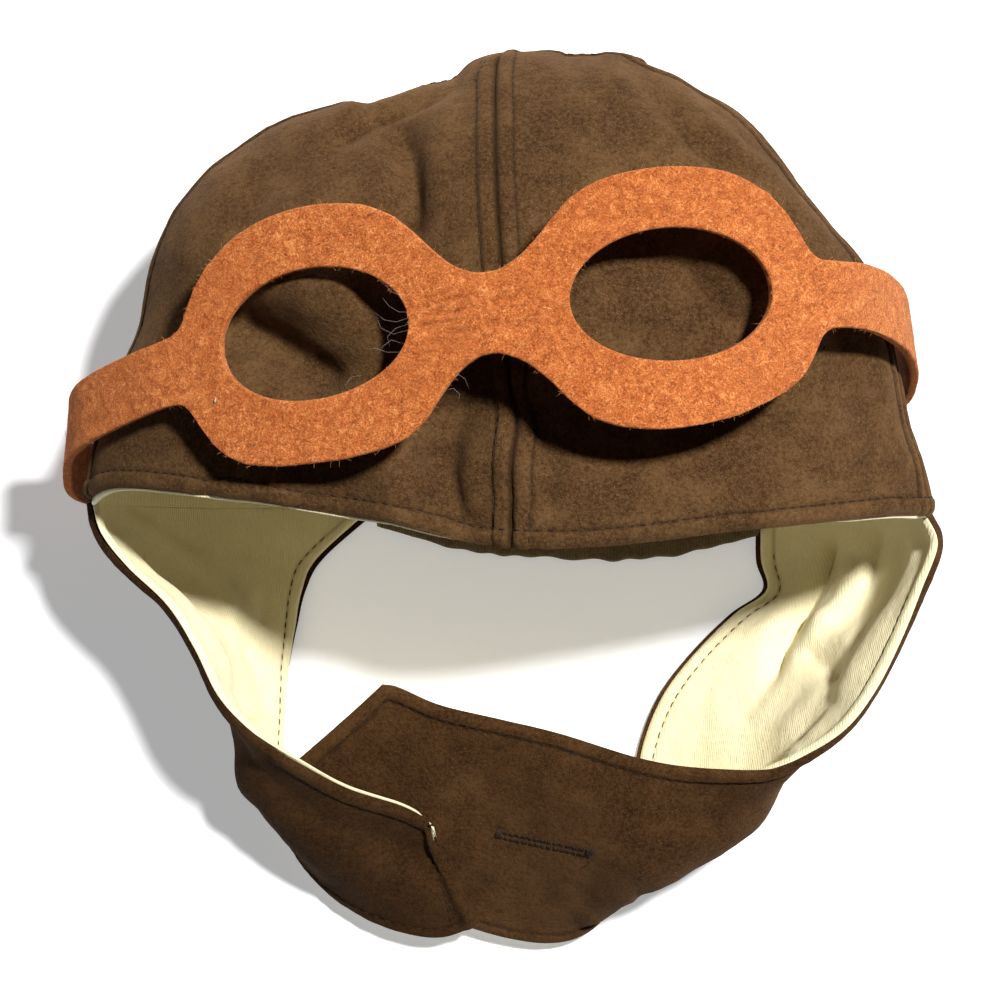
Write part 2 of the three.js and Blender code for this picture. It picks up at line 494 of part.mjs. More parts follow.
// The goggles are one cut of felt: two rims, a bridge and a strap that runs round the crown.
function goggles() {
  const { total, placeAt, distanceOf } = goggleRuler();
  const rightEye = distanceOf(LENS_ROWS.right) + RIGHT_EYE_SHIFT;
  const leftEye = distanceOf(LENS_ROWS.left) + LEFT_EYE_SHIFT;
  const bridge = (rightEye + leftEye) / 2;
  const rimLength = LENS_HALF_LENGTH + RIM_SIDE;
  const rimHeight = LENS_HALF_HEIGHT + RIM_ABOVE;
  const oval = (d) => LENS_HALF_HEIGHT * Math.sqrt(Math.max(0, 1 - (d / LENS_HALF_LENGTH) ** 2));
  const hole = (d) => Math.max(oval(d - rightEye), oval(d - leftEye));
  const edge = (d, part) => {
    const right = d < bridge;
    const inwards = (right ? d - rightEye : leftEye - d) / rimLength;
    const column = (right ? "right" : "left") + (part > 0 ? "Above" : "Below");
    const inner = THREE.MathUtils.smoothstep(inwards, -1, 1);
    const least = THREE.MathUtils.lerp(STRAP_WIDTH, BRIDGE_HEIGHT, inner) / 2;
    return least + (rimHeight - least) * lookUp(RIM_CUT, "inwards", column, inwards);
  };
  const runOut = -RIM_CUT[0].inwards * rimLength;
  const around = (eye, start, end) => {
    const holeStops = Array.from(
      { length: HOLE_STEPS + 1 },
      (_, k) => eye - LENS_HALF_LENGTH * Math.cos((HALF_TURN * k) / HOLE_STEPS),
    );
    const before = spread(start, holeStops[0], RIM_STEPS).slice(0, -1);
    const after = spread(holeStops[HOLE_STEPS], end, RIM_STEPS).slice(1, -1);
    return [...before, ...holeStops, ...after];
  };
  const stops = [
    ...around(rightEye, rightEye - runOut, bridge),
    ...around(leftEye, bridge, leftEye + runOut),
    ...spread(leftEye + runOut, total + rightEye - runOut, STRAP_STEPS).slice(0, -1),
  ];

  const points = [];
  const index = [];
  const quad = (a, b, c, d) => index.push(a, b, c, a, c, d);
  const perSide = FELT_STEPS_ACROSS + 1;
  const column = 4 * perSide; // upper and lower part, each on both faces
  stops.forEach((stop) => {
    const { centre, across, out } = goggleFrame(placeAt(stop));
    for (const part of [1, -1])
      for (const face of [0.5, -0.5])
        for (let k = 0; k < perSide; k += 1) {
          const reach = THREE.MathUtils.lerp(hole(stop), edge(stop, part), k / FELT_STEPS_ACROSS);
          const height = reach * part;
          const p = centre.clone().addScaledVector(across, height).addScaledVector(out, face * FELT);
          points.push(p.x, p.y, p.z);
        }
  });
  const at = (i, part, face, k) => (i % stops.length) * column + (2 * part + face) * perSide + k;
  const turned = ([a, b, c, d]) => [a, d, c, b];
  for (let i = 0; i < stops.length; i += 1)
    for (const part of [0, 1]) {
      const cell = (face, k) => [
        at(i, part, face, k),
        at(i + 1, part, face, k),
        at(i + 1, part, face, k + 1),
        at(i, part, face, k + 1),
      ];
      const wall = (k) => {
        const [a, b] = cell(0, k);
        const [d, c] = cell(1, k);
        return [a, b, c, d];
      };
      for (let k = 0; k < FELT_STEPS_ACROSS; k += 1) {
        quad(...(part ? turned(cell(0, k)) : cell(0, k)));
        quad(...(part ? cell(1, k) : turned(cell(1, k))));
      }
      const rim = wall(FELT_STEPS_ACROSS);
      quad(...(part ? turned(rim) : rim));
      const middle = 0.5 * (stops[i] + (stops[i + 1] ?? stops[0] + total));
      if (hole(middle) > 0) quad(...(part ? wall(0) : turned(wall(0))));
    }
  return solid(points, index);
}

function piece(name, geometry, finish) {
  const material = new THREE.MeshStandardMaterial({ ...finish, metalness: 0 });
  const mesh = new THREE.Mesh(geometry, material);
  mesh.name = name;
  return mesh;
}

const { suede, cotton, felt } = FINISHES;
const hat = new THREE.Group();
hat.add(
  ...PANELS.map((panel) => piece(panel.name, crownPanel(panel), suede)),
  piece("crown_lining", crownLining(), cotton),
  piece("neck_casing", neckCasing(), cotton),
  piece("earflap_right", flapSheet(rightFlap, -1, PLY_GAP / 2, outerFace), suede),
  piece("earflap_left", flapSheet(leftFlap, 1, PLY_GAP / 2, outerFace), suede),
  piece("earflap_lining_right", flapSheet(rightFlap, -1, -innerFace, -PLY_GAP / 2), cotton),
  piece("earflap_lining_left", flapSheet(leftFlap, 1, -innerFace, -PLY_GAP / 2), cotton),
  piece("goggles", goggles(), felt),
);

// The hat's middle stands over the origin, and its underside lies on the plane through it.
const bounds = new THREE.Box3().setFromObject(hat);
const middle = bounds.getCenter(new THREE.Vector3());
hat.children.forEach((mesh) => mesh.geometry.translate(-middle.x, -middle.y, -bounds.min.z));

export default hat;
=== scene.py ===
import math
import random

import bpy
import numpy as np
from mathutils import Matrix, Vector, noise


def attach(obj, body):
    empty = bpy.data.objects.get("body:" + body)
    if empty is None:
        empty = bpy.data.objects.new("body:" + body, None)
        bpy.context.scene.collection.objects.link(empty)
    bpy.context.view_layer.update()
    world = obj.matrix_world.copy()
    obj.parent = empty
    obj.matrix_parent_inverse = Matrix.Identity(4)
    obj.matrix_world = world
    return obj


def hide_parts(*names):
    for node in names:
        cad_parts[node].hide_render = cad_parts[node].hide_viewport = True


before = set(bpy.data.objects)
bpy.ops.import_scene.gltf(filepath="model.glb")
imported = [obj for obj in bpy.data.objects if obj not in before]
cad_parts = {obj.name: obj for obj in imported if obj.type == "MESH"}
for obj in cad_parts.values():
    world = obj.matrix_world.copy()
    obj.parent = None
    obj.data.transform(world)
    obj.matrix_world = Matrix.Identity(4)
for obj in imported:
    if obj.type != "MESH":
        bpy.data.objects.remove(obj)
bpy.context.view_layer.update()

# A child's aviator hat lying on the back of its crown, in brown suede with a cream cotton lining and felt
# goggles. Shapes are worked out in millimetres and the same named values as the solids have.

MM = 0.001
PLACE = np.array([0.063, 2.31, 0.0235])  # from the middle of the picture to the frame's origin
EYE_HEIGHT = 800.0  # of the camera above the table
PIXEL = 0.25  # millimetres on the table for one of the picture's thousand pixels
MIDDLE = 500  # of the picture, in pixels
MEASURING_STEPS = 360  # along a surface, when its lengths are measured

# Cloth
SUEDE = 1.2
COTTON = 1.0
PLY_GAP = 0.3
STRAP_GAP = 1.2
FELT = 2.2
OUTER_FACE = PLY_GAP / 2 + SUEDE
INNER_FACE = PLY_GAP / 2 + COTTON

# Crown
HALF_WIDTH = 98
CROWN_LENGTH = 104.2
FOLD_HEIGHT = 46
FRONT_RISE = 52
FRONT_SKEW = 0.07
FRONT_POWER = 0.96
BACK_POWER = 0.78
REST_BLEND = 2
HOLLOW_SHARE = 1.2
FOLDS_FULL_FROM = 0.625

# Flaps
FLAP_REACH = 110
NECK_RIGHT_TURN = 256
NECK_LEFT_TURN = 303
CASING_WIDTH = 7
CASING_END = 0.55
GATHER_PITCH = 7.5
GATHER_DEPTH = 1.1
FLAP_REST_BLEND = 0.5

# Goggles
STRAP_WIDTH = 14.5
LENS_HALF_LENGTH = 22.4
LENS_HALF_HEIGHT = 14.4
RIM_SIDE = 8.5
RIM_ABOVE = 14.2
BRIDGE_HEIGHT = 17.8
RIGHT_EYE_SHIFT = -1.2
LEFT_EYE_SHIFT = 0.4

# Rows of climb, right, left, high, deep, aside
CROWN_SECTIONS = np.array([
    [0, 1.01, 0.995, 0.9, 1, 0.03],
    [0.12, 0.97, 0.965, 0.98, 1, 0.02],
    [0.25, 0.935, 0.985, 1.06, 1.07, 0.01],
    [0.35, 0.965, 1.005, 1.1, 1.16, 0.003],
    [0.45, 0.985, 0.99, 1.12, 1.29, -0.006],
    [0.55, 0.98, 1.035, 1.12, 1.42, -0.01],
    [0.65, 0.9, 1.115, 1.1, 1.5, -0.01],
    [0.75, 0.62, 1.18, 1.08, 1.5, -0.01],
    [0.85, 0.32, 1.5, 1.04, 1.4, -0.005],
    [0.93, 0.3, 2.4, 1, 1.2, 0],
    [1, 0.3, 2.6, 1, 1.2, 0.01],
])
# Rows of turn, reach
RIM_LINE = np.array([
    [0, 0.036],
    [30, 0.034],
    [60, 0.064],
    [82, 0.1],
    [94, 0.094],
    [105, 0.047],
    [125, 0],
    [155, -0.028],
    [180, 0.004],
    [215, 0.015],
    [256, 0.02],
    [268, 0.06],
    [285, 0.066],
    [303, 0.04],
    [335, 0.036],
    [360, 0.036],
])
SEAMS = {"left": 14, "front": 90, "right": 176, "back": 270}
# Rows of across, along, heading, length, width, depth
FRONT_FOLDS = [
    [-0.21, 0.62, 88, 0.2, 0.11, -0.11],
    [-0.3, 0.8, 27, 0.24, 0.11, -0.13],
    [-0.11, 0.05, 105, 0.24, 0.11, -0.17],
    [-0.22, 0.05, 100, 0.14, 0.1, 0.06],
    [-0.36, 0.03, 62, 0.14, 0.1, -0.09],
    [-0.46, 0.3, -22, 0.3, 0.11, -0.12],
    [0.48, 0.78, -45, 0.3, 0.1, 0.05],
]
# Rows of front (across, along, up), rear (across, along, up), belly, over
RIGHT_FLAP = np.array([
    [-0.96, -0.073, 1.02, -0.45, -0.132, 0.03, 0.32, 0],
    [-0.897, -0.145, 1.04, -0.495, -0.204, 0.03, 0.22, 0],
    [-0.8, -0.227, 1.07, -0.516, -0.282, 0.03, 0.15, 0],
    [-0.734, -0.319, 1.09, -0.536, -0.373, 0.03, 0.1, 0],
    [-0.679, -0.418, 1.09, -0.547, -0.464, 0.03, 0.08, 0],
    [-0.609, -0.488, 1.07, -0.556, -0.564, 0.03, 0.1, 0],
    [-0.539, -0.535, 0.98, -0.551, -0.673, 0.035, 0.15, 0],
    [-0.46, -0.576, 0.87, -0.508, -0.782, 0.045, 0.17, 0.1],
    [-0.366, -0.619, 0.7, -0.418, -0.876, 0.055, 0.13, 0.5],
    [-0.245, -0.656, 0.53, -0.292, -0.943, 0.065, 0.06, 1],
    [-0.187, -0.688, 0.45, -0.152, -0.97, 0.11, 0.04, 1],
    [-0.174, -0.711, 0.44, -0.049, -0.935, 0.165, 0.02, 1],
])
LEFT_FLAP = np.array([
    [1.054, -0.096, 1.02, 0.653, -0.136, 0.03, 0.34, 0],
    [1.016, -0.191, 1.04, 0.669, -0.204, 0.03, 0.26, 0],
    [0.966, -0.297, 1.07, 0.585, -0.26, 0.03, 0.22, 0],
    [0.905, -0.403, 1.09, 0.483, -0.351, 0.03, 0.2, 0],
    [0.833, -0.488, 1.09, 0.406, -0.442, 0.03, 0.22, 0],
    [0.739, -0.545, 1.05, 0.358, -0.545, 0.03, 0.26, 0],
    [0.646, -0.575, 1.01, 0.336, -0.655, 0.03, 0.3, 0],
    [0.483, -0.577, 0.91, 0.321, -0.764, 0.035, 0.31, 0],
    [0.34, -0.559, 0.84, 0.286, -0.882, 0.045, 0.28, 0],
    [0.145, -0.509, 0.72, 0.214, -0.973, 0.065, 0.18, 0],
    [0, -0.48, 0.65, 0.082, -0.995, 0.085, 0.09, 0],
    [-0.147, -0.45, 0.61, -0.142, -0.936, 0.1, 0.05, 0],
    [-0.244, -0.414, 0.59, -0.336, -0.8, 0.15, 0.03, 0],
    [-0.289, -0.405, 0.59, -0.52, -0.591, 0.3, 0.02, 0],
])
# Rows of across, along, up, lean
GOGGLE_PATH = np.array([
    [-1.035, 0.134, 0.96, -6],
    [-0.985, 0.187, 1.31, 0],
    [-0.851, 0.242, 1.584, 4],
    [-0.714, 0.282, 1.761, 0],
    [-0.408, 0.351, 2.017, -2],
    [-0.015, 0.389, 2.203, -2],
    [0.377, 0.426, 2.23, -2],
    [0.7, 0.432, 2.035, 0],
    [0.833, 0.43, 1.832, 0],
    [0.931, 0.394, 1.495, -6],
    [0.978, 0.335, 1.08, -10],
    [0.975, 0.279, 0.54, -6],
    [0.878, 0.249, 0.12, 0],
    [0.606, 0.22, 0.02, 0],
    [0, 0.154, 0.02, 0],
    [-0.606, 0.082, 0.02, 0],
    [-0.898, 0.049, 0.14, 0],
    [-1.03, 0.066, 0.52, -6],
])
LENS_ROWS = {"right": 4, "left": 6}  # at the middle of each eye hole
STRAP_ROWS = {"right": 15, "left": 13}  # between them the strap lies straight on the table

# Rows of the distance from an eye's middle inwards, then the felt's share of a rim's height above and below
# the right eye and above and below the left
RIM_CUT = np.array([
    [-1.3, 0, 0, 0, 0],
    [-1.2, 0.01, 0.01, 0.01, 0.014],
    [-1.12, 0.022, 0.041, 0.018, 0.1],
    [-1.06, 0.052, 0.145, 0.06, 0.29],
    [-1, 0.125, 0.335, 0.149, 0.452],
    [-0.93, 0.275, 0.535, 0.307, 0.56],
    [-0.84, 0.446, 0.69, 0.484, 0.66],
    [-0.7, 0.635, 0.822, 0.676, 0.765],
    [-0.45, 0.838, 0.924, 0.867, 0.905],
    [-0.15, 0.952, 0.972, 0.944, 0.992],
    [0.15, 0.971, 0.984, 0.94, 1.017],
    [0.45, 0.899, 0.932, 0.857, 0.953],
    [0.65, 0.745, 0.832, 0.7, 0.819],
    [0.8, 0.533, 0.648, 0.484, 0.6],
    [0.92, 0.326, 0.406, 0.292, 0.365],
    [1.05, 0.138, 0.178, 0.13, 0.165],
    [1.18, 0.03, 0.044, 0.025, 0.044],
    [1.27, 0, 0, 0, 0],
])


def through(values, place, closed=False):
    """A smooth curve through evenly spaced values, at places counted in values."""
    values, place = np.asarray(values, float), np.asarray(place, float)
    count = len(values)
    whole = np.floor(place).astype(int)
    if not closed:
        whole = np.minimum(whole, count - 2)

    def at(k):
        return values[k % count if closed else np.clip(k, 0, count - 1)]

    f = place - whole
    a, b, c, d = at(whole - 1), at(whole), at(whole + 1), at(whole + 2)
    return b + 0.5 * f * (c - a + f * (2 * a - 5 * b + 4 * c - d + f * (3 * (b - c) + d - a)))


def through_points(points, place):
    return np.stack([through(points[:, k], place) for k in range(3)], -1)


def look_up(table, column, value):
    """A column of a table at values between those of its first column, on a smooth curve."""
    keys = table[:, 0]
    k = np.searchsorted(keys[1:-1], value, side="left")
    share = np.clip((value - keys[k]) / (keys[k + 1] - keys[k]), 0, 1)
    return through(table[:, column], k + share)


def signed_power(value, exponent):
    return np.sign(value) * np.abs(value) ** exponent


def soft_max(a, b, soft):
    """The larger of two numbers, with a rounded change from one to the other."""
    return np.maximum(a, b) + np.maximum(soft - np.abs(a - b), 0) ** 2 / (4 * soft)


def smooth(value, low, high):
    """From 0 at low to 1 at high."""
    t = np.clip((value - low) / (high - low), 0, 1)
    return t * t * (3 - 2 * t)


def unit(v):
    return v / np.maximum(np.linalg.norm(v, axis=-1, keepdims=True), 1e-9)


def rest_height(x, y):
    """How high the crown's back lies: on the table, or over the strap."""
    left, right = GOGGLE_PATH[STRAP_ROWS["left"]], GOGGLE_PATH[STRAP_ROWS["right"]]
    share = (x / HALF_WIDTH - right[0]) / (left[0] - right[0])
    along = CROWN_LENGTH * (right[1] + (left[1] - right[1]) * share)
    bump = np.exp(-(((y - along) / (HOLLOW_SHARE * STRAP_WIDTH)) ** 4))
    return OUTER_FACE + (FELT + STRAP_GAP) * bump


def fold_depth(x, y):
    """How far the folds of the solids lift the crown's front."""
    depth = 0
    for across, along, heading, length, width, amount in FRONT_FOLDS:
        dx, dy = x / HALF_WIDTH - across, y / CROWN_LENGTH - along
        c, s = math.cos(math.radians(heading)), math.sin(math.radians(heading))
        run, side = (dx * c + dy * s) / length, (dy * c - dx * s) / width
        depth = depth + FRONT_RISE * amount * np.exp(-run * run - side * side)
    return depth


def crown_point(turn, climb):
    """A point of the crown's middle layer. Turn is in radians from the wearer's left over the front."""
    turn, climb = np.broadcast_arrays(np.asarray(turn, float), np.asarray(climb, float))
    turn = np.mod(turn, 2 * np.pi)
    c, s = np.cos(turn), np.sin(turn)
    right, left, high, deep, aside = (look_up(CROWN_SECTIONS, k, climb) for k in range(1, 6))
    ring, rise = np.cos(climb * np.pi / 2), np.sin(climb * np.pi / 2)
    exponent = np.where(s >= 0, FRONT_POWER, BACK_POWER)
    x = HALF_WIDTH * (aside + np.where(c > 0, left, right) * ring * signed_power(c, exponent))
    y = CROWN_LENGTH * (rise - look_up(RIM_LINE, 1, np.degrees(turn)) * (1 - rise) ** 2)
    lift = ring * np.abs(s) ** exponent
    front = FOLD_HEIGHT + FRONT_RISE * high * lift * (1 + FRONT_SKEW * c)
    front = front + fold_depth(x, y) * np.minimum(1, s * ring / FOLDS_FULL_FROM)
    back = soft_max(FOLD_HEIGHT - FOLD_HEIGHT * deep * lift, rest_height(x, y), REST_BLEND)
    return np.stack([x, y, np.where(s >= 0, front, back)], -1)


def flap_surface(table, fold_turn, neck_turn, side):
    """A flap's middle layer, by the share from its front to its rear edge and the run down to the tab."""
    size = np.array([HALF_WIDTH, FLAP_REACH, FOLD_HEIGHT])
    front = np.vstack([crown_point(fold_turn, 0), table[:, 0:3] * size])
    rear = np.vstack([crown_point(neck_turn, 0), table[:, 3:6] * size])
    belly = np.concatenate([[0], table[:, 6] * FOLD_HEIGHT])
    belly[0] = 1.5 * belly[1] - 0.5 * belly[2]
    over = np.concatenate([[0], table[:, 7] * (INNER_FACE + OUTER_FACE)])
    last = len(belly) - 1

    def directions(place):
        start = through_points(front, place)
        chord = through_points(rear, place) - start
        before, after = np.maximum(0, place - 0.5), np.minimum(last, place + 0.5)
        along = through_points(front, after) + through_points(rear, after)
        along = along - through_points(front, before) - through_points(rear, before)
        out = unit(np.cross(chord, along) * -side)
        return start, chord, out, np.linalg.norm(chord, axis=-1)

    root_start, root_chord, root_out, root_length = (v[0] for v in directions(np.zeros(1)))
    root_slide = unit(np.cross(root_chord, root_out))

    def surface(share, run):
        share, run = np.broadcast_arrays(np.asarray(share, float), np.asarray(run, float))
        place = run * last
        start, chord, out, length = directions(place)
        fade = smooth(place, 0, 3)
        rim = crown_point(fold_turn + (neck_turn - fold_turn) * share, 0) - root_start
        rim_share = rim @ root_chord / root_length**2
        rim_off = rim @ root_out * length / root_length
        slip = rim @ root_slide * (1 - fade)
        bow = through(belly, place) * np.sin(np.pi * share)
        point = start + chord * (rim_share + (share - rim_share) * fade)[..., None]
        point = point + out * (rim_off + (bow - rim_off) * fade + through(over, place))[..., None]
        point = point + unit(np.cross(chord, out)) * slip[..., None]
        point[..., 2] = soft_max(point[..., 2], OUTER_FACE, FLAP_REST_BLEND)
        return point

    return surface


def goggle_frame(place):
    """The felt loop's middle line and the felt's own directions, at places counted in rows of its path."""
    place = np.asarray(place, float)

    def at(where):
        across, along, up = (through(GOGGLE_PATH[:, k], where, True) for k in range(3))
        height = np.minimum(up, 1) * FOLD_HEIGHT + np.maximum(up - 1, 0) * FRONT_RISE
        return np.stack([across * HALF_WIDTH, along * CROWN_LENGTH, np.maximum(height, FELT / 2)], -1)

    tangent = unit(at(place + 0.05) - at(place - 0.05))
    across = unit(np.array([0.0, 1.0, 0.0]) - tangent * tangent[..., 1:2])
    lean = np.radians(through(GOGGLE_PATH[:, 3], place, True))[..., None]
    across = across * np.cos(lean) + np.cross(tangent, across) * np.sin(lean)
    return at(place), across, np.cross(tangent, across)


# Helpers for folds, grids and meshes


def hump(distance, width):
    return np.exp(-((distance / width) ** 2))


def flat(x, y):
    """Two numbers for each point as a place on the plane z = 0."""
    return np.stack([x, y, x * 0], -1)


def picture(points):
    """Where points of the hat come out in the picture, in its thousand pixels."""
    scale = PIXEL * (1 - points[..., 2] / EYE_HEIGHT)
    return np.stack([MIDDLE + points[..., 0] / scale, MIDDLE - points[..., 1] / scale], -1)


def to_line(spots, line):
    """Distance of spots from a line through points, and the share of the line's length passed there."""
    line = np.asarray(line, float)
    steps = np.linalg.norm(np.diff(line, axis=0), axis=1)
    passed = np.concatenate([[0], np.cumsum(steps)])
    best = np.full(spots.shape[:-1], np.inf)
    share = np.zeros(spots.shape[:-1])
    for a, b, start, step in zip(line[:-1], line[1:], passed, steps):
        t = np.clip(((spots - a) @ (b - a)) / step**2, 0, 1)
        far = np.linalg.norm(spots - (a + t[..., None] * (b - a)), axis=-1)
        nearer = far < best
        best = np.where(nearer, far, best)
        share = np.where(nearer, (start + t * step) / passed[-1], share)
    return best, share


def pressed(points, strokes):
    """How far a list of strokes lifts the cloth at points. A stroke holds the places of a line in the
    picture, then its half width in pixels and its height in millimetres, below zero for a dent."""
    spots = picture(points)
    lift = np.zeros(points.shape[:-1])
    for *line, width, height in strokes:
        far, share = to_line(spots, np.reshape(line, (-1, 2)))
        ends = smooth(share, 0, 0.22) * smooth(1 - share, 0, 0.22)
        lift += height * hump(far, width) * (0.15 + 0.85 * ends)
    return lift


def ripple(points, size, seed):
    """Smooth noise between about -1 and 1, with ripples of that size in millimetres."""
    places = (points / size + seed).reshape(-1, 3)
    return np.array([noise.noise(Vector(p)) for p in places]).reshape(points.shape[:-1])


def facing(points):
    """Unit normals of a grid of points, the way that its second direction crossed with its first faces."""
    u, v = np.gradient(points, axis=0), np.gradient(points, axis=1)
    return unit(np.cross(v, u))


def spacing(length, start, end, middle):
    """Places along a length, close together near its two ends as start and end list them."""
    room = 2.4 * (start[-1] + end[-1])
    shrink = min(1.0, length / max(room, 1e-6))
    first, last = np.array(start) * shrink, length - np.array(end[::-1]) * shrink
    return np.concatenate([first, np.linspace(first[-1], last[0], middle + 2)[1:-1], last])


def lengths(points, axis):
    """Distances run along a grid's lines in one direction, from their starts."""
    steps = np.linalg.norm(np.diff(points, axis=axis), axis=-1)
    zero = np.zeros_like(np.take(steps, [0], axis=axis))
    return np.concatenate([zero, np.cumsum(steps, axis=axis)], axis=axis)


class Patch:
    """A grid laid over a surface, with each point's distance in millimetres from its four borders."""

    def __init__(self, surface, us, vs, edge_u, start_v, end_v, counts, loops=False):
        v_fine = np.linspace(vs[0], vs[1], MEASURING_STEPS)
        along = lengths(surface(np.full(MEASURING_STEPS, np.mean(us)), v_fine), 0)
        v = np.interp(spacing(along[-1], start_v, end_v, counts[1]), along, v_fine)
        u_fine = np.linspace(us[0], us[1], MEASURING_STEPS)
        rows = lengths(surface(u_fine[:, None], v[None, :]), 0)
        u = np.stack([
            np.interp(spacing(rows[-1, j], edge_u, edge_u, counts[0]), rows[:, j], u_fine)
            for j in range(len(v))
        ], 1)
        if loops:
            u = np.repeat(np.linspace(us[0], us[1], counts[0] + 1)[:-1, None], len(v), 1)
        self.u, self.v, self.loops = u, np.repeat(v[None, :], u.shape[0], 0), loops
        self.points = surface(self.u, self.v)
        self.measure()

    def measure(self):
        across, along = lengths(self.points, 0), lengths(self.points, 1)
        self.from_u0, self.from_u1 = across, across[-1:] - across
        self.from_v0, self.from_v1 = along, along[:, -1:] - along
        if self.loops:
            closed = np.concatenate([self.points[-1:], self.points, self.points[:1]])
            self.normals = facing(closed)[1:-1]
        else:
            self.normals = facing(self.points)

    def lift(self, amount):
        self.points = self.points + self.normals * amount[..., None]
        self.measure()

    def layer(self, offset):
        return self.points + self.normals * np.asarray(offset)[..., None]


def linked(name, data):
    thing = bpy.data.objects.new(name, data)
    bpy.context.scene.collection.objects.link(thing)
    return thing


def add_mesh(name, points, faces, material, cloth=None):
    """A smooth piece from points in millimetres. cloth gives each point's coordinates for its material."""
    mesh = bpy.data.meshes.new(name)
    mesh.from_pydata(((np.asarray(points) + PLACE) * MM).tolist(), [], faces)
    if cloth is not None:
        stored = mesh.attributes.new("cloth", "FLOAT_VECTOR", "POINT")
        stored.data.foreach_set("vector", np.asarray(cloth, np.float32).ravel())
    mesh.materials.append(material)
    mesh.shade_smooth()
    mesh.validate()
    return linked(name, mesh)


def take(piece, slot, *nodes):
    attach(piece, "root")
    if nodes:
        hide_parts(*nodes)


def border(columns, rows, loops):
    """The grid's border points in order round it, as (column, row) and the way outwards."""
    if loops:
        start = [(i, 0, 0, -1) for i in range(columns)]
        return [start, [(i, rows - 1, 0, 1) for i in reversed(range(columns))]]
    ring = [(i, 0, -(i == 0), -1) for i in range(columns)]
    ring += [(columns - 1, j, 1, (j == rows - 1) * 1) for j in range(1, rows)]
    ring += [(i, rows - 1, -(i == 0), 1) for i in reversed(range(columns - 1))]
    ring += [(0, j, -1, 0) for j in reversed(range(1, rows - 1))]
    return [ring]


ROUNDING_STEPS = 4


def shell(name, patch, outer, inner, material, cloth, rounding):
    """A closed cloth shell between two offsets of a patch, with rounded borders."""
    top, low = patch.layer(outer), patch.layer(inner)
    columns, rows = top.shape[:2]
    count = columns * rows
    points = [top.reshape(-1, 3), low.reshape(-1, 3)]
    coords = [cloth.reshape(-1, 3), cloth.reshape(-1, 3)]
    faces = []
    cells = columns if patch.loops else columns - 1
    i, j = np.meshgrid(np.arange(cells), np.arange(rows - 1), indexing="ij")
    a, b = (i * rows + j).ravel(), (((i + 1) % columns) * rows + j).ravel()
    faces += np.stack([a, a + 1, b + 1, b], 1).tolist()
    faces += (np.stack([a, b, b + 1, a + 1], 1) + count).tolist()
    next_point = 2 * count
    for ring in border(columns, rows, patch.loops):
        ci, cj, di, dj = (np.array(v) for v in zip(*ring))
        at = ci * rows + cj
        o, n = top[ci, cj], low[ci, cj]
        neighbour_i = top[np.clip(ci - di, 0, columns - 1), cj]
        neighbour_j = top[ci, np.clip(cj - dj, 0, rows - 1)]
        ways = unit(o - neighbour_i) * (di != 0)[:, None] + unit(o - neighbour_j) * (dj != 0)[:, None]
        normal = unit(o - n)
        ways = unit(ways - normal * np.sum(ways * normal, -1, keepdims=True))
        half = np.linalg.norm(o - n, axis=-1, keepdims=True) / 2
        middle = (o + n) / 2
        strip = [at]
        for k in range(1, ROUNDING_STEPS):
            angle = math.pi * k / ROUNDING_STEPS
            outwards = ways * half * rounding * math.sin(angle)
            points.append(middle + normal * half * math.cos(angle) + outwards)
            coords.append(cloth[ci, cj])
            strip.append(np.arange(len(at)) + next_point)
            next_point += len(at)
        strip.append(at + count)
        for first, second in zip(strip[:-1], strip[1:]):
            faces += np.stack([first, np.roll(first, -1), np.roll(second, -1), second], 1).tolist()
    return add_mesh(name, np.vstack(points), faces, material, np.vstack(coords))


# Distances from an edge at which the cloth is divided, and where it is stitched
EDGE = [0, 0.25, 0.5, 0.8, 1.15, 1.6, 2.2, 2.8, 3.3, 3.65, 4.0, 4.35, 4.7, 5.3, 6.2]
STITCH_AT = EDGE[10]
STITCH_PITCH = 2.7
STITCH_LENGTH = 2.1


def seam_relief(distance, scale=1.0):
    """The cloth's face beside an edge: turned down at it, padded up to the stitches, and drawn in there."""
    d = distance / scale
    turned = np.clip(1 - d, 0, 1)
    drop = -0.75 * (1 - np.sqrt(np.maximum(1 - turned**2, 0)))
    pad = 0.55 * smooth(d, 0.2, 1.6) * smooth(5.0 - d, 0, 1.5)
    groove = -0.5 * hump(d - STITCH_AT, 0.5)
    return drop + pad + groove


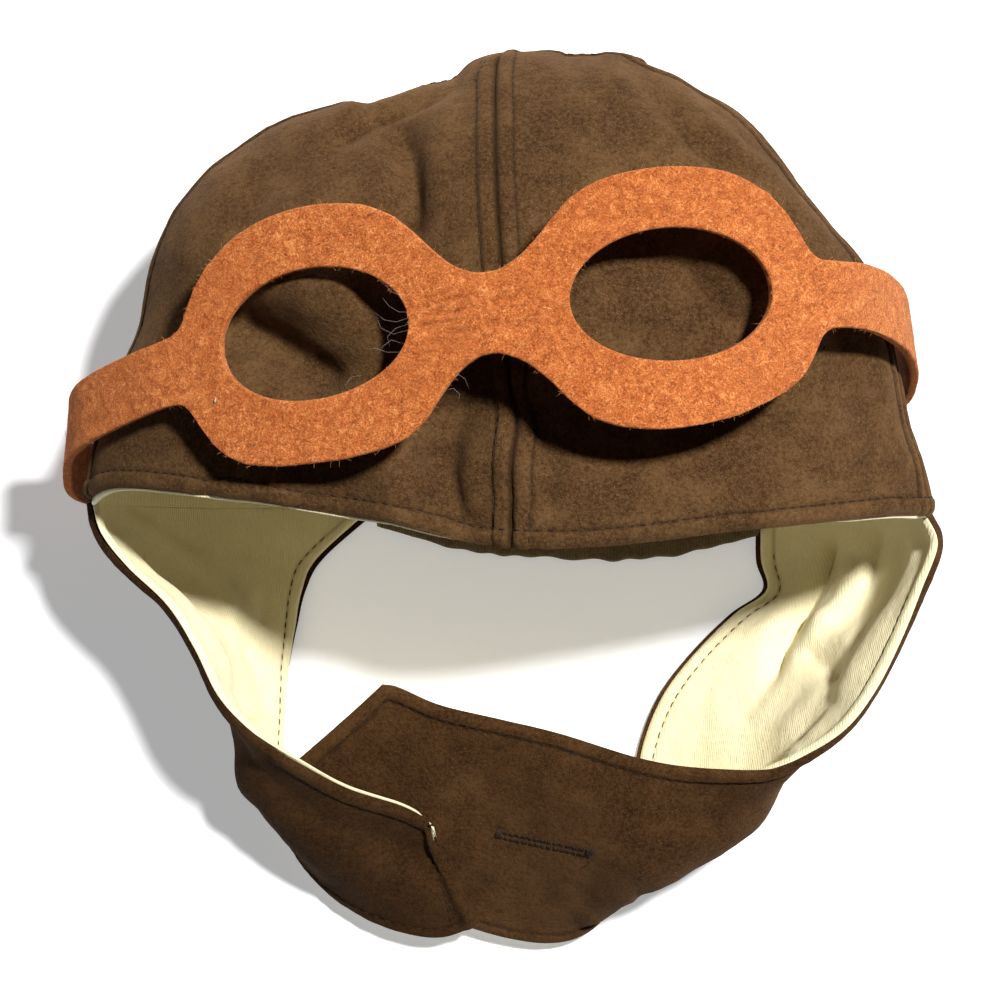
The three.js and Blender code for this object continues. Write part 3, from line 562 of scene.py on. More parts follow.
class Thread:
    """Stitches gathered from many lines into one mesh."""

    def __init__(self):
        self.points, self.faces = [], []

    def strand(self, path, radius, sides=5):
        path = np.asarray(path, float)
        way = unit(np.gradient(path, axis=0))
        level = np.abs(way[:, 2:3]) < 0.9
        side = unit(np.cross(way, np.where(level, [[0.0, 0.0, 1.0]], [[1.0, 0.0, 0.0]])))
        up = np.cross(side, way)
        share = np.linspace(-1, 1, len(path))
        thick = radius * (1 - 0.65 * share**4)
        turns = np.arange(sides) * 2 * np.pi / sides
        ring = path[:, None] + thick[:, None, None] * (
            side[:, None] * np.cos(turns)[:, None] + up[:, None] * np.sin(turns)[:, None]
        )
        start = sum(len(p) for p in self.points)
        self.points.append(ring.reshape(-1, 3))
        for k in range(len(path) - 1):
            for s in range(sides):
                a, b = start + k * sides + s, start + k * sides + (s + 1) % sides
                self.faces.append([a, b, b + sides, a + sides])
        self.faces.append([start + s for s in reversed(range(sides))])
        end = start + (len(path) - 1) * sides
        self.faces.append([end + s for s in range(sides)])

    def line(self, points, normals, radius, height=0.1):
        """Stitches along a line of points: each dives into the cloth at its two ends."""
        run = lengths(points, 0)
        chance = random.Random(int(run[-1] * 1000) + len(points))
        place = STITCH_PITCH / 2
        while place + STITCH_LENGTH < run[-1]:
            reach = STITCH_LENGTH * (1 + chance.uniform(-0.1, 0.1))
            spots = np.linspace(place, place + reach, 6)
            path = np.stack([np.interp(spots, run, points[:, k]) for k in range(3)], -1)
            out = unit(np.stack([np.interp(spots, run, normals[:, k]) for k in range(3)], -1))
            rise = np.array([-0.35, 0.02, height, height, 0.02, -0.35])
            self.strand(path + out * rise[:, None], radius * (1 + chance.uniform(-0.1, 0.1)))
            place += STITCH_PITCH * (1 + chance.uniform(-0.04, 0.04))

    def build(self, name, material):
        return add_mesh(name, np.vstack(self.points), self.faces, material)


class Recipe:
    """A material's nodes, added one after another."""

    def __init__(self, name):
        self.material = bpy.data.materials.new(name)
        self.material.use_nodes = True
        self.tree = self.material.node_tree
        self.surface = self.tree.nodes["Principled BSDF"]
        self.place = self.add("ShaderNodeTexCoord").outputs["Object"]

    def put(self, socket, value):
        if isinstance(value, bpy.types.NodeSocket):
            self.tree.links.new(value, socket)
        elif hasattr(socket, "default_value"):
            if isinstance(value, tuple) and len(value) == 3 and len(socket.default_value) == 4:
                value = (*value, 1.0)
            socket.default_value = value

    def add(self, kind, settings=None, **sockets):
        node = self.tree.nodes.new(kind)
        for name, value in (settings or {}).items():
            setattr(node, name, value)
        for name, value in sockets.items():
            self.put(node.inputs[name.replace("_", " ")], value)
        return node

    def noise(self, size, detail=3.0, roughness=0.55, distortion=0.0):
        """Noise whose largest ripples are about that many millimetres across."""
        node = self.add(
            "ShaderNodeTexNoise", Scale=1 / (size * MM), Detail=detail, Roughness=roughness,
            Distortion=distortion, Vector=self.place,
        )
        return node.outputs["Fac"]

    def cloth(self):
        """Each point's own coordinates: X and Y on the cloth in millimetres, and Z how much painted shade
        its seam and stitch grooves get.
        """
        stored = self.add("ShaderNodeAttribute", {"attribute_name": "cloth"})
        return self.add("ShaderNodeSeparateXYZ", Vector=stored.outputs["Vector"]).outputs

    def maths(self, operation, a, b=0.0):
        node = self.add("ShaderNodeMath", {"operation": operation})
        self.put(node.inputs[0], a)
        self.put(node.inputs[1], b)
        return node.outputs[0]

    def mixed(self, a, share, b):
        """The sum of that share of a and the rest of b."""
        return self.maths("ADD", self.maths("MULTIPLY", a, share), self.maths("MULTIPLY", b, 1 - share))

    def wave(self, value, length):
        """A sine wave of that length in millimetres."""
        return self.maths("SINE", self.maths("MULTIPLY", value, 2 * math.pi / length))

    def between(self, value, low, high, to_low, to_high):
        ends = {"From_Min": low, "From_Max": high, "To_Min": to_low, "To_Max": to_high}
        return self.add("ShaderNodeMapRange", Value=value, **ends).outputs[0]

    def blend(self, factor, a, b):
        node = self.add("ShaderNodeMix", {"data_type": "RGBA", "blend_type": "MIX", "clamp_factor": True})
        for index, value in ((0, factor), (6, a), (7, b)):
            self.put(node.inputs[index], value)
        return node.outputs[2]

    def tint(self, colour, value, low, high, amount, other):
        """The colour, with up to that amount of another one where a value gets from low to high."""
        return self.blend(self.between(value, low, high, 0.0, amount), colour, other)

    def ramp(self, value, *stops):
        node = self.add("ShaderNodeValToRGB", Fac=value)
        band = node.color_ramp
        while len(band.elements) < len(stops):
            band.elements.new(0.5)
        for element, (position, colour) in zip(band.elements, stops):
            element.position = position
            element.color = (*colour, 1.0)
        return node.outputs["Color"]

    def bumps(self, *layers):
        """Bumps laid on each other, each a height and its depth in millimetres."""
        normal = None
        for height, depth in layers:
            node = self.add("ShaderNodeBump", Height=height, Distance=depth * MM, Strength=1.0)
            if normal:
                self.put(node.inputs["Normal"], normal)
            normal = node.outputs["Normal"]
        self.put(self.surface.inputs["Normal"], normal)

    def finish(self, **sockets):
        for name, value in sockets.items():
            self.put(self.surface.inputs[name.replace("_", " ")], value)
        return self.material


def suede_material(name, shade, shade_warmth=1.0):
    """Brushed suede. Its two numbers darken and redden it, to make lit and shaded copies of one suede as
    painted light and shade.
    """

    def brown(red, green, blue):
        dark = 0.8 * shade
        return dark * red, dark * green / shade_warmth, dark * blue / shade_warmth**2

    r = Recipe(name)
    cloth = r.cloth()
    cloudy = r.noise(30, 3, 0.55)
    brushed = r.noise(6.5, 4, 0.6, distortion=0.3)
    nap = r.noise(0.95, 3, 0.7)
    grain = r.noise(0.36, 2, 0.6)
    tone = r.mixed(cloudy, 0.55, brushed)
    colour = r.ramp(
        tone, (0.34, brown(0.030, 0.0125, 0.0042)), (0.48, brown(0.058, 0.027, 0.0092)),
        (0.62, brown(0.104, 0.053, 0.0205)),
    )
    colour = r.tint(colour, nap, 0.4, 0.7, 0.42, brown(0.15, 0.083, 0.036))
    colour = r.tint(colour, nap, 0.5, 0.25, 0.5, brown(0.022, 0.0095, 0.0035))
    colour = r.tint(colour, grain, 0.56, 0.74, 0.6, brown(0.21, 0.125, 0.06))
    # Painted shade in the seams and stitch grooves, by the cloth's Z.
    colour = r.blend(cloth["Z"], colour, (0.008, 0.004, 0.0016))
    r.bumps((brushed, 0.35), (nap, 0.34), (grain, 0.14))
    return r.finish(
        Base_Color=colour, Roughness=0.95, Specular_IOR_Level=0.05, Sheen_Weight=0.13 * shade,
        Sheen_Roughness=0.5, Sheen_Tint=(0.7, 0.4, 0.2),
    )


def cotton_material(name, pale, deep):
    """Fine ribbed cotton."""
    r = Recipe(name)
    cloth = r.cloth()
    wander = r.between(r.noise(7, 2), 0.0, 1.0, -0.35, 0.35)
    rib = r.wave(r.maths("ADD", cloth["X"], wander), 0.72)
    loop = r.wave(cloth["Y"], 0.6)
    knit = r.mixed(rib, 0.8, loop)
    colour = r.blend(r.noise(16, 4, 0.6), deep, pale)
    colour = r.tint(colour, knit, 1.0, -1.0, 0.14, (0.42, 0.33, 0.19))
    colour = r.tint(colour, r.noise(1.1, 3), 0.75, 0.35, 0.12, (0.5, 0.4, 0.26))
    # Painted shade in the stitch grooves, by the cloth's Z.
    colour = r.blend(cloth["Z"], colour, (0.2, 0.15, 0.08))
    r.bumps((r.noise(5, 4, 0.6), 0.6), (knit, 0.04), (r.noise(0.8, 3), 0.07))
    return r.finish(
        Base_Color=colour, Roughness=0.88, Specular_IOR_Level=0.15, Sheen_Weight=0.15, Sheen_Roughness=0.5,
    )


def felt_material():
    """Matted fibres in several oranges."""
    r = Recipe("orange_felt")
    matted = r.noise(2.4, 5, 0.7, distortion=1.0)
    fibre = r.noise(0.8, 4, 0.75, distortion=2.2)
    speck = r.noise(0.38, 2, 0.7)
    cloudy = r.noise(30, 2)
    tone = r.mixed(matted, 0.4, fibre)
    colour = r.ramp(
        tone, (0.38, (0.17, 0.024, 0.003)), (0.45, (0.42, 0.082, 0.012)), (0.54, (0.66, 0.172, 0.034)),
        (0.62, (0.95, 0.40, 0.13)),
    )
    colour = r.tint(colour, speck, 0.54, 0.72, 0.55, (0.95, 0.46, 0.18))
    colour = r.tint(colour, speck, 0.44, 0.28, 0.65, (0.18, 0.028, 0.004))
    colour = r.tint(colour, cloudy, 0.35, 0.7, 0.25, (0.40, 0.08, 0.012))
    r.bumps((matted, 0.7), (fibre, 0.55), (speck, 0.14))
    return r.finish(
        Base_Color=colour, Roughness=1.0, Specular_IOR_Level=0.08, Sheen_Weight=0.25, Sheen_Roughness=0.6,
        Sheen_Tint=(1.0, 0.62, 0.35),
    )


def plain_material(name, colour, roughness, grain, size, lit=0.0):
    """One colour, with darker grains of that size in millimetres. lit makes it glow, as painted light."""
    r = Recipe(name)
    shade = r.tint(colour, r.noise(size, 3), 0.3, 0.7, grain, tuple(c * 0.6 for c in colour))
    return r.finish(
        Base_Color=shade, Roughness=roughness, Specular_IOR_Level=0.2, Emission_Color=(1.0, 1.0, 1.0),
        Emission_Strength=lit,
    )


# The crown takes a lit copy of the suede, and the flaps take darker, redder copies as painted shade.
CROWN_FINISH = suede_material("brown_suede", 1.12)
RIGHT_FLAP_SHADED_FINISH = suede_material("brown_suede_right_flap_painted_shade", 0.52, 1.12)
LEFT_FLAP_SHADED_FINISH = suede_material("brown_suede_left_flap_painted_shade", 0.8, 1.1)
LINING_FINISH = cotton_material("cream_cotton", (0.90, 0.83, 0.56), (0.80, 0.71, 0.42))
# The neck casing is cotton painted dark brown, as painted shade under the front rim.
SHADED_CASING_FINISH = cotton_material("neck_elastic_painted_shade", (0.10, 0.07, 0.04), (0.06, 0.04, 0.02))
FELT_FINISH = felt_material()
THREAD_FINISH = plain_material("brown_thread", (0.026, 0.014, 0.0075), 0.7, 0.5, 0.4)
FUZZ_FINISH = plain_material("felt_fibres", (0.85, 0.33, 0.10), 0.9, 0.6, 6.0)
LINT_FINISH = plain_material("pale_lint", (0.4, 0.34, 0.27), 0.9, 0.2, 6.0)
# The table top glows: painted light that brightens the shadows on it.
GLOWING_FLOOR_FINISH = plain_material("table_top", (0.8, 0.8, 0.805), 0.9, 0.02, 120.0, 0.36)


# The crown: soft folds as lines in the picture, half width in pixels and height in millimetres
CROWN_STROKES = [
    [400, 300, 424, 340, 410, 390, 44, -5.0],
    [216, 312, 262, 338, 306, 366, 352, 398, 22, -5.2],
    [226, 262, 280, 276, 330, 296, 356, 320, 26, 4.4],
    [226, 366, 258, 390, 300, 408, 17, 2.6],
    [546, 404, 630, 446, 716, 440, 784, 396, 36, -6.0],
    [598, 254, 646, 250, 682, 264, 710, 298, 736, 344, 16, -2.6],
    [640, 226, 704, 240, 748, 274, 770, 322, 27, 8.0],
    [620, 300, 654, 306, 684, 344, 20, 1.6],
    [452, 330, 510, 330, 560, 350, 50, -6.0],
    [430, 400, 500, 408, 570, 430, 36, -5.5],
    [556, 46, 574, 66, 578, 96, 13, -1.0],
    [452, 86, 404, 110, 364, 130, 322, 154, 11, -2.4],
    [440, 72, 390, 94, 336, 120, 15, 1.3],
    [398, 116, 410, 160, 416, 200, 408, 256, 15, -3.0],
    [366, 140, 376, 180, 380, 220, 15, 1.3],
    [446, 100, 440, 160, 436, 230, 14, 1.2],
    [300, 150, 264, 190, 232, 250, 20, -1.9],
    [240, 170, 204, 220, 186, 280, 16, 1.2],
    [655, 70, 704, 128, 762, 176, 810, 228, 838, 256, 9, 1.5],
    [640, 84, 686, 142, 740, 188, 790, 236, 11, -1.9],
    [598, 70, 640, 120, 690, 160, 16, 0.9],
    [838, 256, 866, 340, 888, 430, 920, 508, 10, 0.9],
    [826, 300, 846, 380, 868, 450, 12, -0.9],
    [424, 400, 436, 440, 446, 476, 24, -3.6],
    [440, 440, 450, 480, 462, 516, 19, -1.8],
    [470, 440, 472, 480, 482, 520, 13, 2.0],
    [536, 420, 540, 470, 538, 520, 24, -2.4],
    [400, 470, 420, 500, 438, 522, 12, -0.8],
    [408, 456, 410, 480, 414, 506, 14, 1.0],
    [250, 462, 222, 478, 196, 500, 11, -1.4],
    [292, 470, 290, 485, 296, 504, 22, 1.1],
    [560, 440, 552, 480, 546, 520, 13, -1.1],
    [620, 448, 640, 480, 650, 515, 18, 0.7],
    [700, 452, 720, 480, 728, 510, 12, -0.7],
    [540, 120, 556, 180, 548, 240, 20, -0.7],
    [300, 360, 340, 372, 372, 360, 16, -0.9],
    [620, 300, 660, 330, 720, 320, 18, -0.5],
]
# Strokes that the crown's outline follows
OUTLINE_STROKES = [
    [340, 104, 404, 88, 440, 76, 476, 60, 26, -3.4],
    [556, 50, 582, 52, 608, 54, 16, -1.0],
]
PUCKER_PITCH = 3.1  # of the rim's short puckers
# Distances from the rim and from the top at which the cloth is divided
RIM = [0, 0.3, 0.65, 1.1, 1.7, 2.4, 3.0, 3.5, 4.0, 4.5, 5.2, 6.2]
TOP = [0, 0.5, 1.2]
SEAM_CLEARANCE = 0.0012  # radians kept from a seam's line
EYE_CLIMB = 1 - 2 * 0.4 / (math.pi * HALF_WIDTH)


def rumpled(patch):
    """The folds and ripples that both plies share. They fade where the cloth lies on the table."""
    free = smooth(patch.points[..., 2], 5, 22)
    up = smooth(patch.normals[..., 2], -0.15, 0.35)
    ripples = 0.75 * ripple(patch.points, 26, 3.1) + 0.75 * 0.45 * ripple(patch.points, 9, 7.7)
    folds = pressed(patch.points, CROWN_STROKES) * up + pressed(patch.points, OUTLINE_STROKES)
    patch.lift((folds + ripples) * free)


def across_rows(patch, face, distance):
    """The points of a face that lie at that distance from the grid's first border, and their normals."""
    points, normals = [], []
    for along, column, ways in zip(patch.from_v0, face, patch.normals):
        points.append([np.interp(distance, along, column[:, k]) for k in range(3)])
        normals.append([np.interp(distance, along, ways[:, k]) for k in range(3)])
    return np.array(points), unit(np.array(normals))


def crown_panel(name, start, end, columns):
    """One suede panel between two seams, with its stitches."""
    patch = Patch(
        crown_point,
        (math.radians(start) + SEAM_CLEARANCE, math.radians(end) - SEAM_CLEARANCE),
        (0, EYE_CLIMB), EDGE, RIM, TOP, (columns, 104),
    )
    rumpled(patch)
    wide = smooth(patch.from_u0 + patch.from_u1, 4, 16)
    beside = np.minimum(patch.from_u0, patch.from_u1)
    puckers = ripple(flat(patch.from_u0 / PUCKER_PITCH, patch.from_v0 / 14), 0.5, 4.2)
    seam_puckers = ripple(flat(patch.from_v0 / 3.4, beside / 9), 0.5, 1.7)
    relief = seam_relief(beside) * wide + seam_relief(patch.from_v0)
    seen = picture(patch.points)[..., 0]
    drawn = 0.42 + 0.8 * hump(seen - 675, 130) + 0.3 * hump(seen - 340, 70)
    relief += drawn * puckers * hump(patch.from_v0 - 4.2, 3.4) * smooth(patch.from_v0, 0, 1.5)
    relief += 0.16 * seam_puckers * hump(beside - 4.6, 3.0) * wide * smooth(beside, 0, 1.5)
    relief += 0.10 * ripple(patch.points, 3.2, 9.3)
    outer = OUTER_FACE + relief
    near = np.minimum(beside, patch.from_v0)
    # Painted shade along the seams and in the stitch grooves, kept as the cloth's Z.
    dark = 0.75 * hump(beside, 0.55) * wide + 0.5 * hump(near - STITCH_AT, 0.45)
    cloth = np.stack([patch.from_u0, patch.from_v0, np.clip(dark, 0, 1)], -1)
    piece = shell(name, patch, outer, np.full_like(outer, PLY_GAP / 2), CROWN_FINISH, cloth, 0.8)
    face = patch.layer(outer)
    at = EDGE.index(STITCH_AT)
    for column in (at, face.shape[0] - 1 - at):
        use = (patch.from_u0 + patch.from_u1)[column] > 14
        crown_threads.line(face[column][use], patch.normals[column][use], radius=0.17, height=0.03)
    crown_threads.line(*across_rows(patch, face, STITCH_AT), radius=0.2)
    take(piece, "brown_suede", name)


crown_threads = Thread()
crown_panel("front_panel_left", SEAMS["left"], SEAMS["front"], 132)
crown_panel("front_panel_right", SEAMS["front"], SEAMS["right"], 132)
crown_panel("back_panel_right", SEAMS["right"], SEAMS["back"], 72)
crown_panel("back_panel_left", SEAMS["back"], SEAMS["left"] + 360, 72)


def crown_lining():
    """The lining of the whole crown, with a hem along the rim."""
    patch = Patch(crown_point, (0, 2 * math.pi), (0, EYE_CLIMB), EDGE, RIM, TOP, (260, 74), loops=True)
    rumpled(patch)
    turn = np.degrees(patch.u)
    front = smooth(turn, 8, 20) * smooth(turn, 186, 172)
    ends = -1.3 + 1.6 * smooth(turn, 90, 106) + 0.7 * smooth(turn, 150, 172)
    ends += 1.6 * smooth(turn, 52, 38) + 0.4 * smooth(turn, 30, 12)
    patch.points[..., 1] -= 0.9 * ends * front * np.exp(-patch.from_v0 / 1.6)
    patch.measure()
    slack = 0.5 + 0.5 * ripple(patch.points, 17, 5.5)
    puff = 0.9 * slack * smooth(patch.from_v0, 3, 14) * smooth(patch.from_v1, 4, 16)
    hem = 0.25 * smooth(patch.from_v0, 0.4, 1.5) * smooth(6.2 - patch.from_v0, 0, 1.6)
    inner = -(INNER_FACE + puff + hem)
    cloth = flat(patch.points[..., 0], patch.points[..., 1])
    piece = shell("crown_lining", patch, -PLY_GAP / 2 - 0.3 * puff, inner, LINING_FINISH, cloth, 0.9)
    take(piece, "cream_cotton", "crown_lining")


crown_lining()


# Folds of the flaps as lines in the picture, above zero away from the hat's inside
LEFT_STROKES = [
    [842, 528, 824, 578, 802, 614, 782, 646, 764, 698, 10, 4.2],
    [866, 556, 846, 604, 820, 636, 804, 660, 12, -2.8],
    [806, 548, 792, 592, 770, 620, 750, 652, 12, -1.6],
    [806, 646, 824, 666, 848, 684, 12, 2.2],
    [812, 616, 840, 640, 862, 652, 10, -1.3],
    [852, 694, 826, 726, 796, 752, 10, 2.2],
    [836, 684, 808, 712, 782, 742, 10, -1.1],
    [756, 700, 742, 732, 12, 1.0],
    [724, 690, 712, 726, 12, -0.7],
    [886, 516, 880, 548, 866, 590, 8, 1.8],
    [908, 540, 896, 590, 880, 640, 9, -0.9],
    [838, 752, 800, 790, 742, 836, 680, 872, 620, 900, 34, 3.4],
    [640, 884, 606, 908, 580, 926, 20, 2.2],
    [720, 800, 700, 850, 640, 880, 26, -1.0],
    [480, 760, 500, 800, 470, 840, 22, -0.6],
    [600, 850, 590, 880, 580, 905, 12, -0.7],
    [620, 800, 560, 790, 520, 780, 20, 0.5],
]
RIGHT_STROKES = [
    [108, 500, 150, 536, 196, 566, 224, 604, 240, 644, 10, -1.9],
    [236, 636, 254, 668, 272, 716, 6, 1.5],
    [224, 660, 238, 690, 256, 726, 8, -0.8],
    [140, 560, 176, 596, 200, 632, 11, 1.0],
    [160, 604, 186, 640, 200, 684, 6, 0.7],
    [262, 540, 270, 590, 264, 634, 13, 1.8],
    [300, 540, 292, 580, 286, 620, 9, -1.2],
    [196, 672, 216, 722, 232, 762, 262, 812, 26, 3.6],
    [262, 812, 300, 850, 360, 890, 22, -0.9],
    [330, 800, 350, 840, 400, 880, 20, 0.8],
    [400, 850, 430, 880, 14, -0.5],
]
FLAP_HEM = 0.85  # width of a flap's hem, as a share of the rim's
FLAP_EDGE = [d * FLAP_HEM for d in EDGE]
FLAP_STITCH = FLAP_EDGE.index(STITCH_AT * FLAP_HEM)
FLAP_ROOT = [0, 0.4, 1.0, 2.0]
PEEP = 0.8  # millimetres by which one ply passes the other at an edge
REAR_PEEP = 1.25
END_PEEP = 4.2
FLAP_ACROSS, FLAP_ALONG = 74, 138  # typical length of a flap's middle lines


def flap_cloth(name, finish, surface, side, strokes, hidden_from):
    """One ply of a flap. The lining passes the suede at the front edge as far as the run where it gets
    hidden, and the suede the lining elsewhere. Returns the visible face and its normals."""
    lining = finish is LINING_FINISH
    short = PEEP / FLAP_ACROSS

    def trimmed(u, v):
        v = np.asarray(v)
        shown = smooth(v, hidden_from + 0.05, hidden_from - 0.03) * smooth(1 - v, 0.03, 0.12)
        front = short * ((1 - shown) * 4 if lining else shown)
        rear = 1 - REAR_PEEP / FLAP_ACROSS if lining else 1
        across = u if side > 0 else 1 - u
        return surface(front + (rear - front) * across, v)

    stop = 1 - END_PEEP / FLAP_ALONG if lining else 1
    patch = Patch(trimmed, (0, 1), (0.004, stop), FLAP_EDGE, FLAP_ROOT, FLAP_EDGE, (84, 116))
    from_front, from_rear = (patch.from_u0, patch.from_u1) if side > 0 else (patch.from_u1, patch.from_u0)
    free = smooth(patch.points[..., 2], 3, 9)
    inwards = smooth(patch.from_v0, 2, 18) * smooth(patch.from_v1, 3, 30)
    upper = smooth(patch.v, hidden_from + 0.1, hidden_from - 0.15)
    away = np.minimum(from_front, from_rear)
    ripples = 0.6 * ripple(patch.points, 22, 6.4) + 0.26 * ripple(patch.points, 8, 2.9)
    flare = 3.6 * hump(from_front - 12, 8) * upper * smooth(patch.from_v0, 0, 12)
    lift = ripples * (0.25 + 0.75 * inwards) * smooth(away, 0, 6) - flare
    lift += pressed(patch.points, strokes) * smooth(away, 1, 8) * smooth(patch.from_v0, 0, 6)
    patch.lift(lift * free)
    near = np.minimum(away, patch.from_v1)
    relief = seam_relief(near, FLAP_HEM) + 0.08 * ripple(patch.points, 3.2, 9.3)
    if not lining:
        relief += 0.6 * smooth(patch.from_v1, 0.3, 1.8) * smooth(4.4 - patch.from_v1, 0, 1.4)
    pucker = ripple(flat(patch.from_v0 / 3.6, near / 9), 0.5, 3.3)
    relief += 0.22 * pucker * hump(near - 3.6, 2.8) * smooth(near, 0, 1.5)
    # groove also gives painted shade in the stitch grooves, kept as the cloth's Z.
    groove = hump(near - STITCH_AT * FLAP_HEM, 0.42)
    between = PLY_GAP / 2 * smooth(near, 0.3, 3) + 0.02
    if lining:
        slack = 0.9 * smooth(ripple(patch.points, 13, 8.8), -0.3, 0.8) * smooth(away, 4, 14) * inwards
        face = -(INNER_FACE + relief * 0.8 + slack)
        back = -between - slack * 0.5
        tilt = 0.7 * side
        cloth = np.stack([
            patch.points[..., 0] + tilt * patch.points[..., 2], patch.from_v0, np.clip(0.4 * groove, 0, 1)
        ], -1)
        piece = shell(name, patch, back, face, finish, cloth, 0.6)
        normals = -patch.normals
    else:
        face = OUTER_FACE + relief
        cloth = np.stack([patch.from_u0, patch.from_v0, np.clip(0.55 * groove, 0, 1)], -1)
        piece = shell(name, patch, face, between, finish, cloth, 0.6)
        normals = patch.normals
    shown = patch.layer(face)
    last = shown.shape[0] - 1
    low = len(FLAP_ROOT) + 2
    end = shown.shape[1] - 1 - FLAP_STITCH
    thick = 0.14 if lining else 0.17
    for column in (FLAP_STITCH, last - FLAP_STITCH):
        flap_threads.line(shown[column, low : end + 1], normals[column, low : end + 1], thick)
    inside = slice(FLAP_STITCH, last - FLAP_STITCH + 1)
    flap_threads.line(shown[inside, end], normals[inside, end], thick)
    take(piece, "cream_cotton" if lining else "brown_suede", name)
    return shown, normals


left_flap = flap_surface(LEFT_FLAP, 2 * math.pi, math.radians(NECK_LEFT_TURN), 1)
right_flap = flap_surface(RIGHT_FLAP, math.pi, math.radians(NECK_RIGHT_TURN), -1)
flap_threads = Thread()
# Surface, side and strokes of each flap, and the run where its lining gets hidden at the front edge
LEFT = left_flap, 1, LEFT_STROKES, 0.5
RIGHT = right_flap, -1, RIGHT_STROKES, 1.2
tab_face, tab_normals = flap_cloth("earflap_left", LEFT_FLAP_SHADED_FINISH, *LEFT)
flap_cloth("earflap_lining_left", LINING_FINISH, *LEFT)
flap_cloth("earflap_right", RIGHT_FLAP_SHADED_FINISH, *RIGHT)
flap_cloth("earflap_lining_right", LINING_FINISH, *RIGHT)


def neck_casing():
    """Cloth over elastic along the neck, in uneven gathers."""
    first, last = math.radians(NECK_RIGHT_TURN), math.radians(NECK_LEFT_TURN)

    def surface(turn, share):
        turn, share = np.broadcast_arrays(turn, 1 - share)
        point = crown_point(turn, 0)
        x = point[..., 0]
        wander = 1.6 * np.sin(x / 9.1 + 0.8) + 1.1 * np.sin(x / 4.7)
        gather = np.sin(2 * np.pi * (x + wander) / (GATHER_PITCH * 1.1))
        gather = 0.7 * gather + 0.5 * np.sin(2 * np.pi * (x - wander) / (GATHER_PITCH * 1.9) + 1.0)
        swell = 0.55 + 0.35 * np.sin(x / 6.3 + 2.0)
        middle = np.sin(np.pi * (turn - first) / (last - first))
        width = CASING_WIDTH * (CASING_END + (1 - CASING_END) * middle)
        point[..., 1] -= 0.1 + (width - 0.1 + 0.35 * gather * middle) * share
        point[..., 2] += GATHER_DEPTH * (0.7 + gather * swell * share) / 2 + 0.5 * np.sin(np.pi * share)
        return point

    patch = Patch(surface, (first, last), (0, 1), [0, 0.4, 1.0], [0, 0.4, 1.0], [0, 0.3, 0.6], (240, 12))
    face = np.full(patch.points.shape[:2], OUTER_FACE * 0.8) + 0.1 * ripple(patch.points, 1.8, 3.3)
    cloth = flat(patch.points[..., 0], patch.from_v0)
    # The casing's dark brown is painted shade.
    piece = shell("neck_casing", patch, face, np.full_like(face, -INNER_FACE), SHADED_CASING_FINISH, cloth, 0.9)
    take(piece, "cream_cotton", "neck_casing")


neck_casing()


FELT_STEPS = 24  # between two rows of the path, where distances along it are measured


def goggle_rims():
    """Half height of the felt's edges and of its eye holes, as functions of the distance round the loop."""
    run = lengths(goggle_frame(np.arange(len(GOGGLE_PATH) * FELT_STEPS + 1) / FELT_STEPS)[0], 0)
    right, left = (run[LENS_ROWS[side] * FELT_STEPS] for side in ("right", "left"))
    eyes = right + RIGHT_EYE_SHIFT, left + LEFT_EYE_SHIFT
    bridge = sum(eyes) / 2
    length, height = LENS_HALF_LENGTH + RIM_SIDE, LENS_HALF_HEIGHT + RIM_ABOVE

    def hole(d):
        near = np.where(d < bridge, d - eyes[0], d - eyes[1])
        return LENS_HALF_HEIGHT * np.sqrt(np.maximum(0, 1 - (near / LENS_HALF_LENGTH) ** 2))

    def edge(d, part):
        inwards = np.where(d < bridge, d - eyes[0], eyes[1] - d) / length
        least = STRAP_WIDTH / 2 + (BRIDGE_HEIGHT - STRAP_WIDTH) / 2 * smooth(inwards, -1, 1)
        side = 1 if part > 0 else 2
        cut = np.where(d < bridge, look_up(RIM_CUT, side, inwards), look_up(RIM_CUT, side + 2, inwards))
        return least + (height - least) * cut

    return run, eyes, hole, edge


# Stops along an eye hole, on each of its sides, and along the strap
HOLE_STEPS, BESIDE_HOLE, STRAP_STEPS = 72, 34, 300
# How the felt is shared out from an edge of an eye hole to the outer edge
FELT_ACROSS = [0, 0.012, 0.035, 0.07, *np.linspace(0.11, 0.9, 17), 0.94, 0.968, 0.988, 1]
CREASE_WIDTH = 0.62
# Creases of the felt beside the middle of its bridge: place along and across, length, slope, depth
CREASES = [
    (-9, 5.2, 6, 0.20, 0.7), (-11, 3.0, 7, 0.12, 0.9), (-8, 0.8, 6, 0.05, 0.8), (-12, -1.4, 7, 0.0, 0.9),
    (-8, -3.4, 6, -0.08, 0.8), (-11, -5.6, 6, -0.15, 0.7), (3, 2.2, 4, 0.1, 0.5), (4, -3.0, 4, -0.1, 0.5),
]


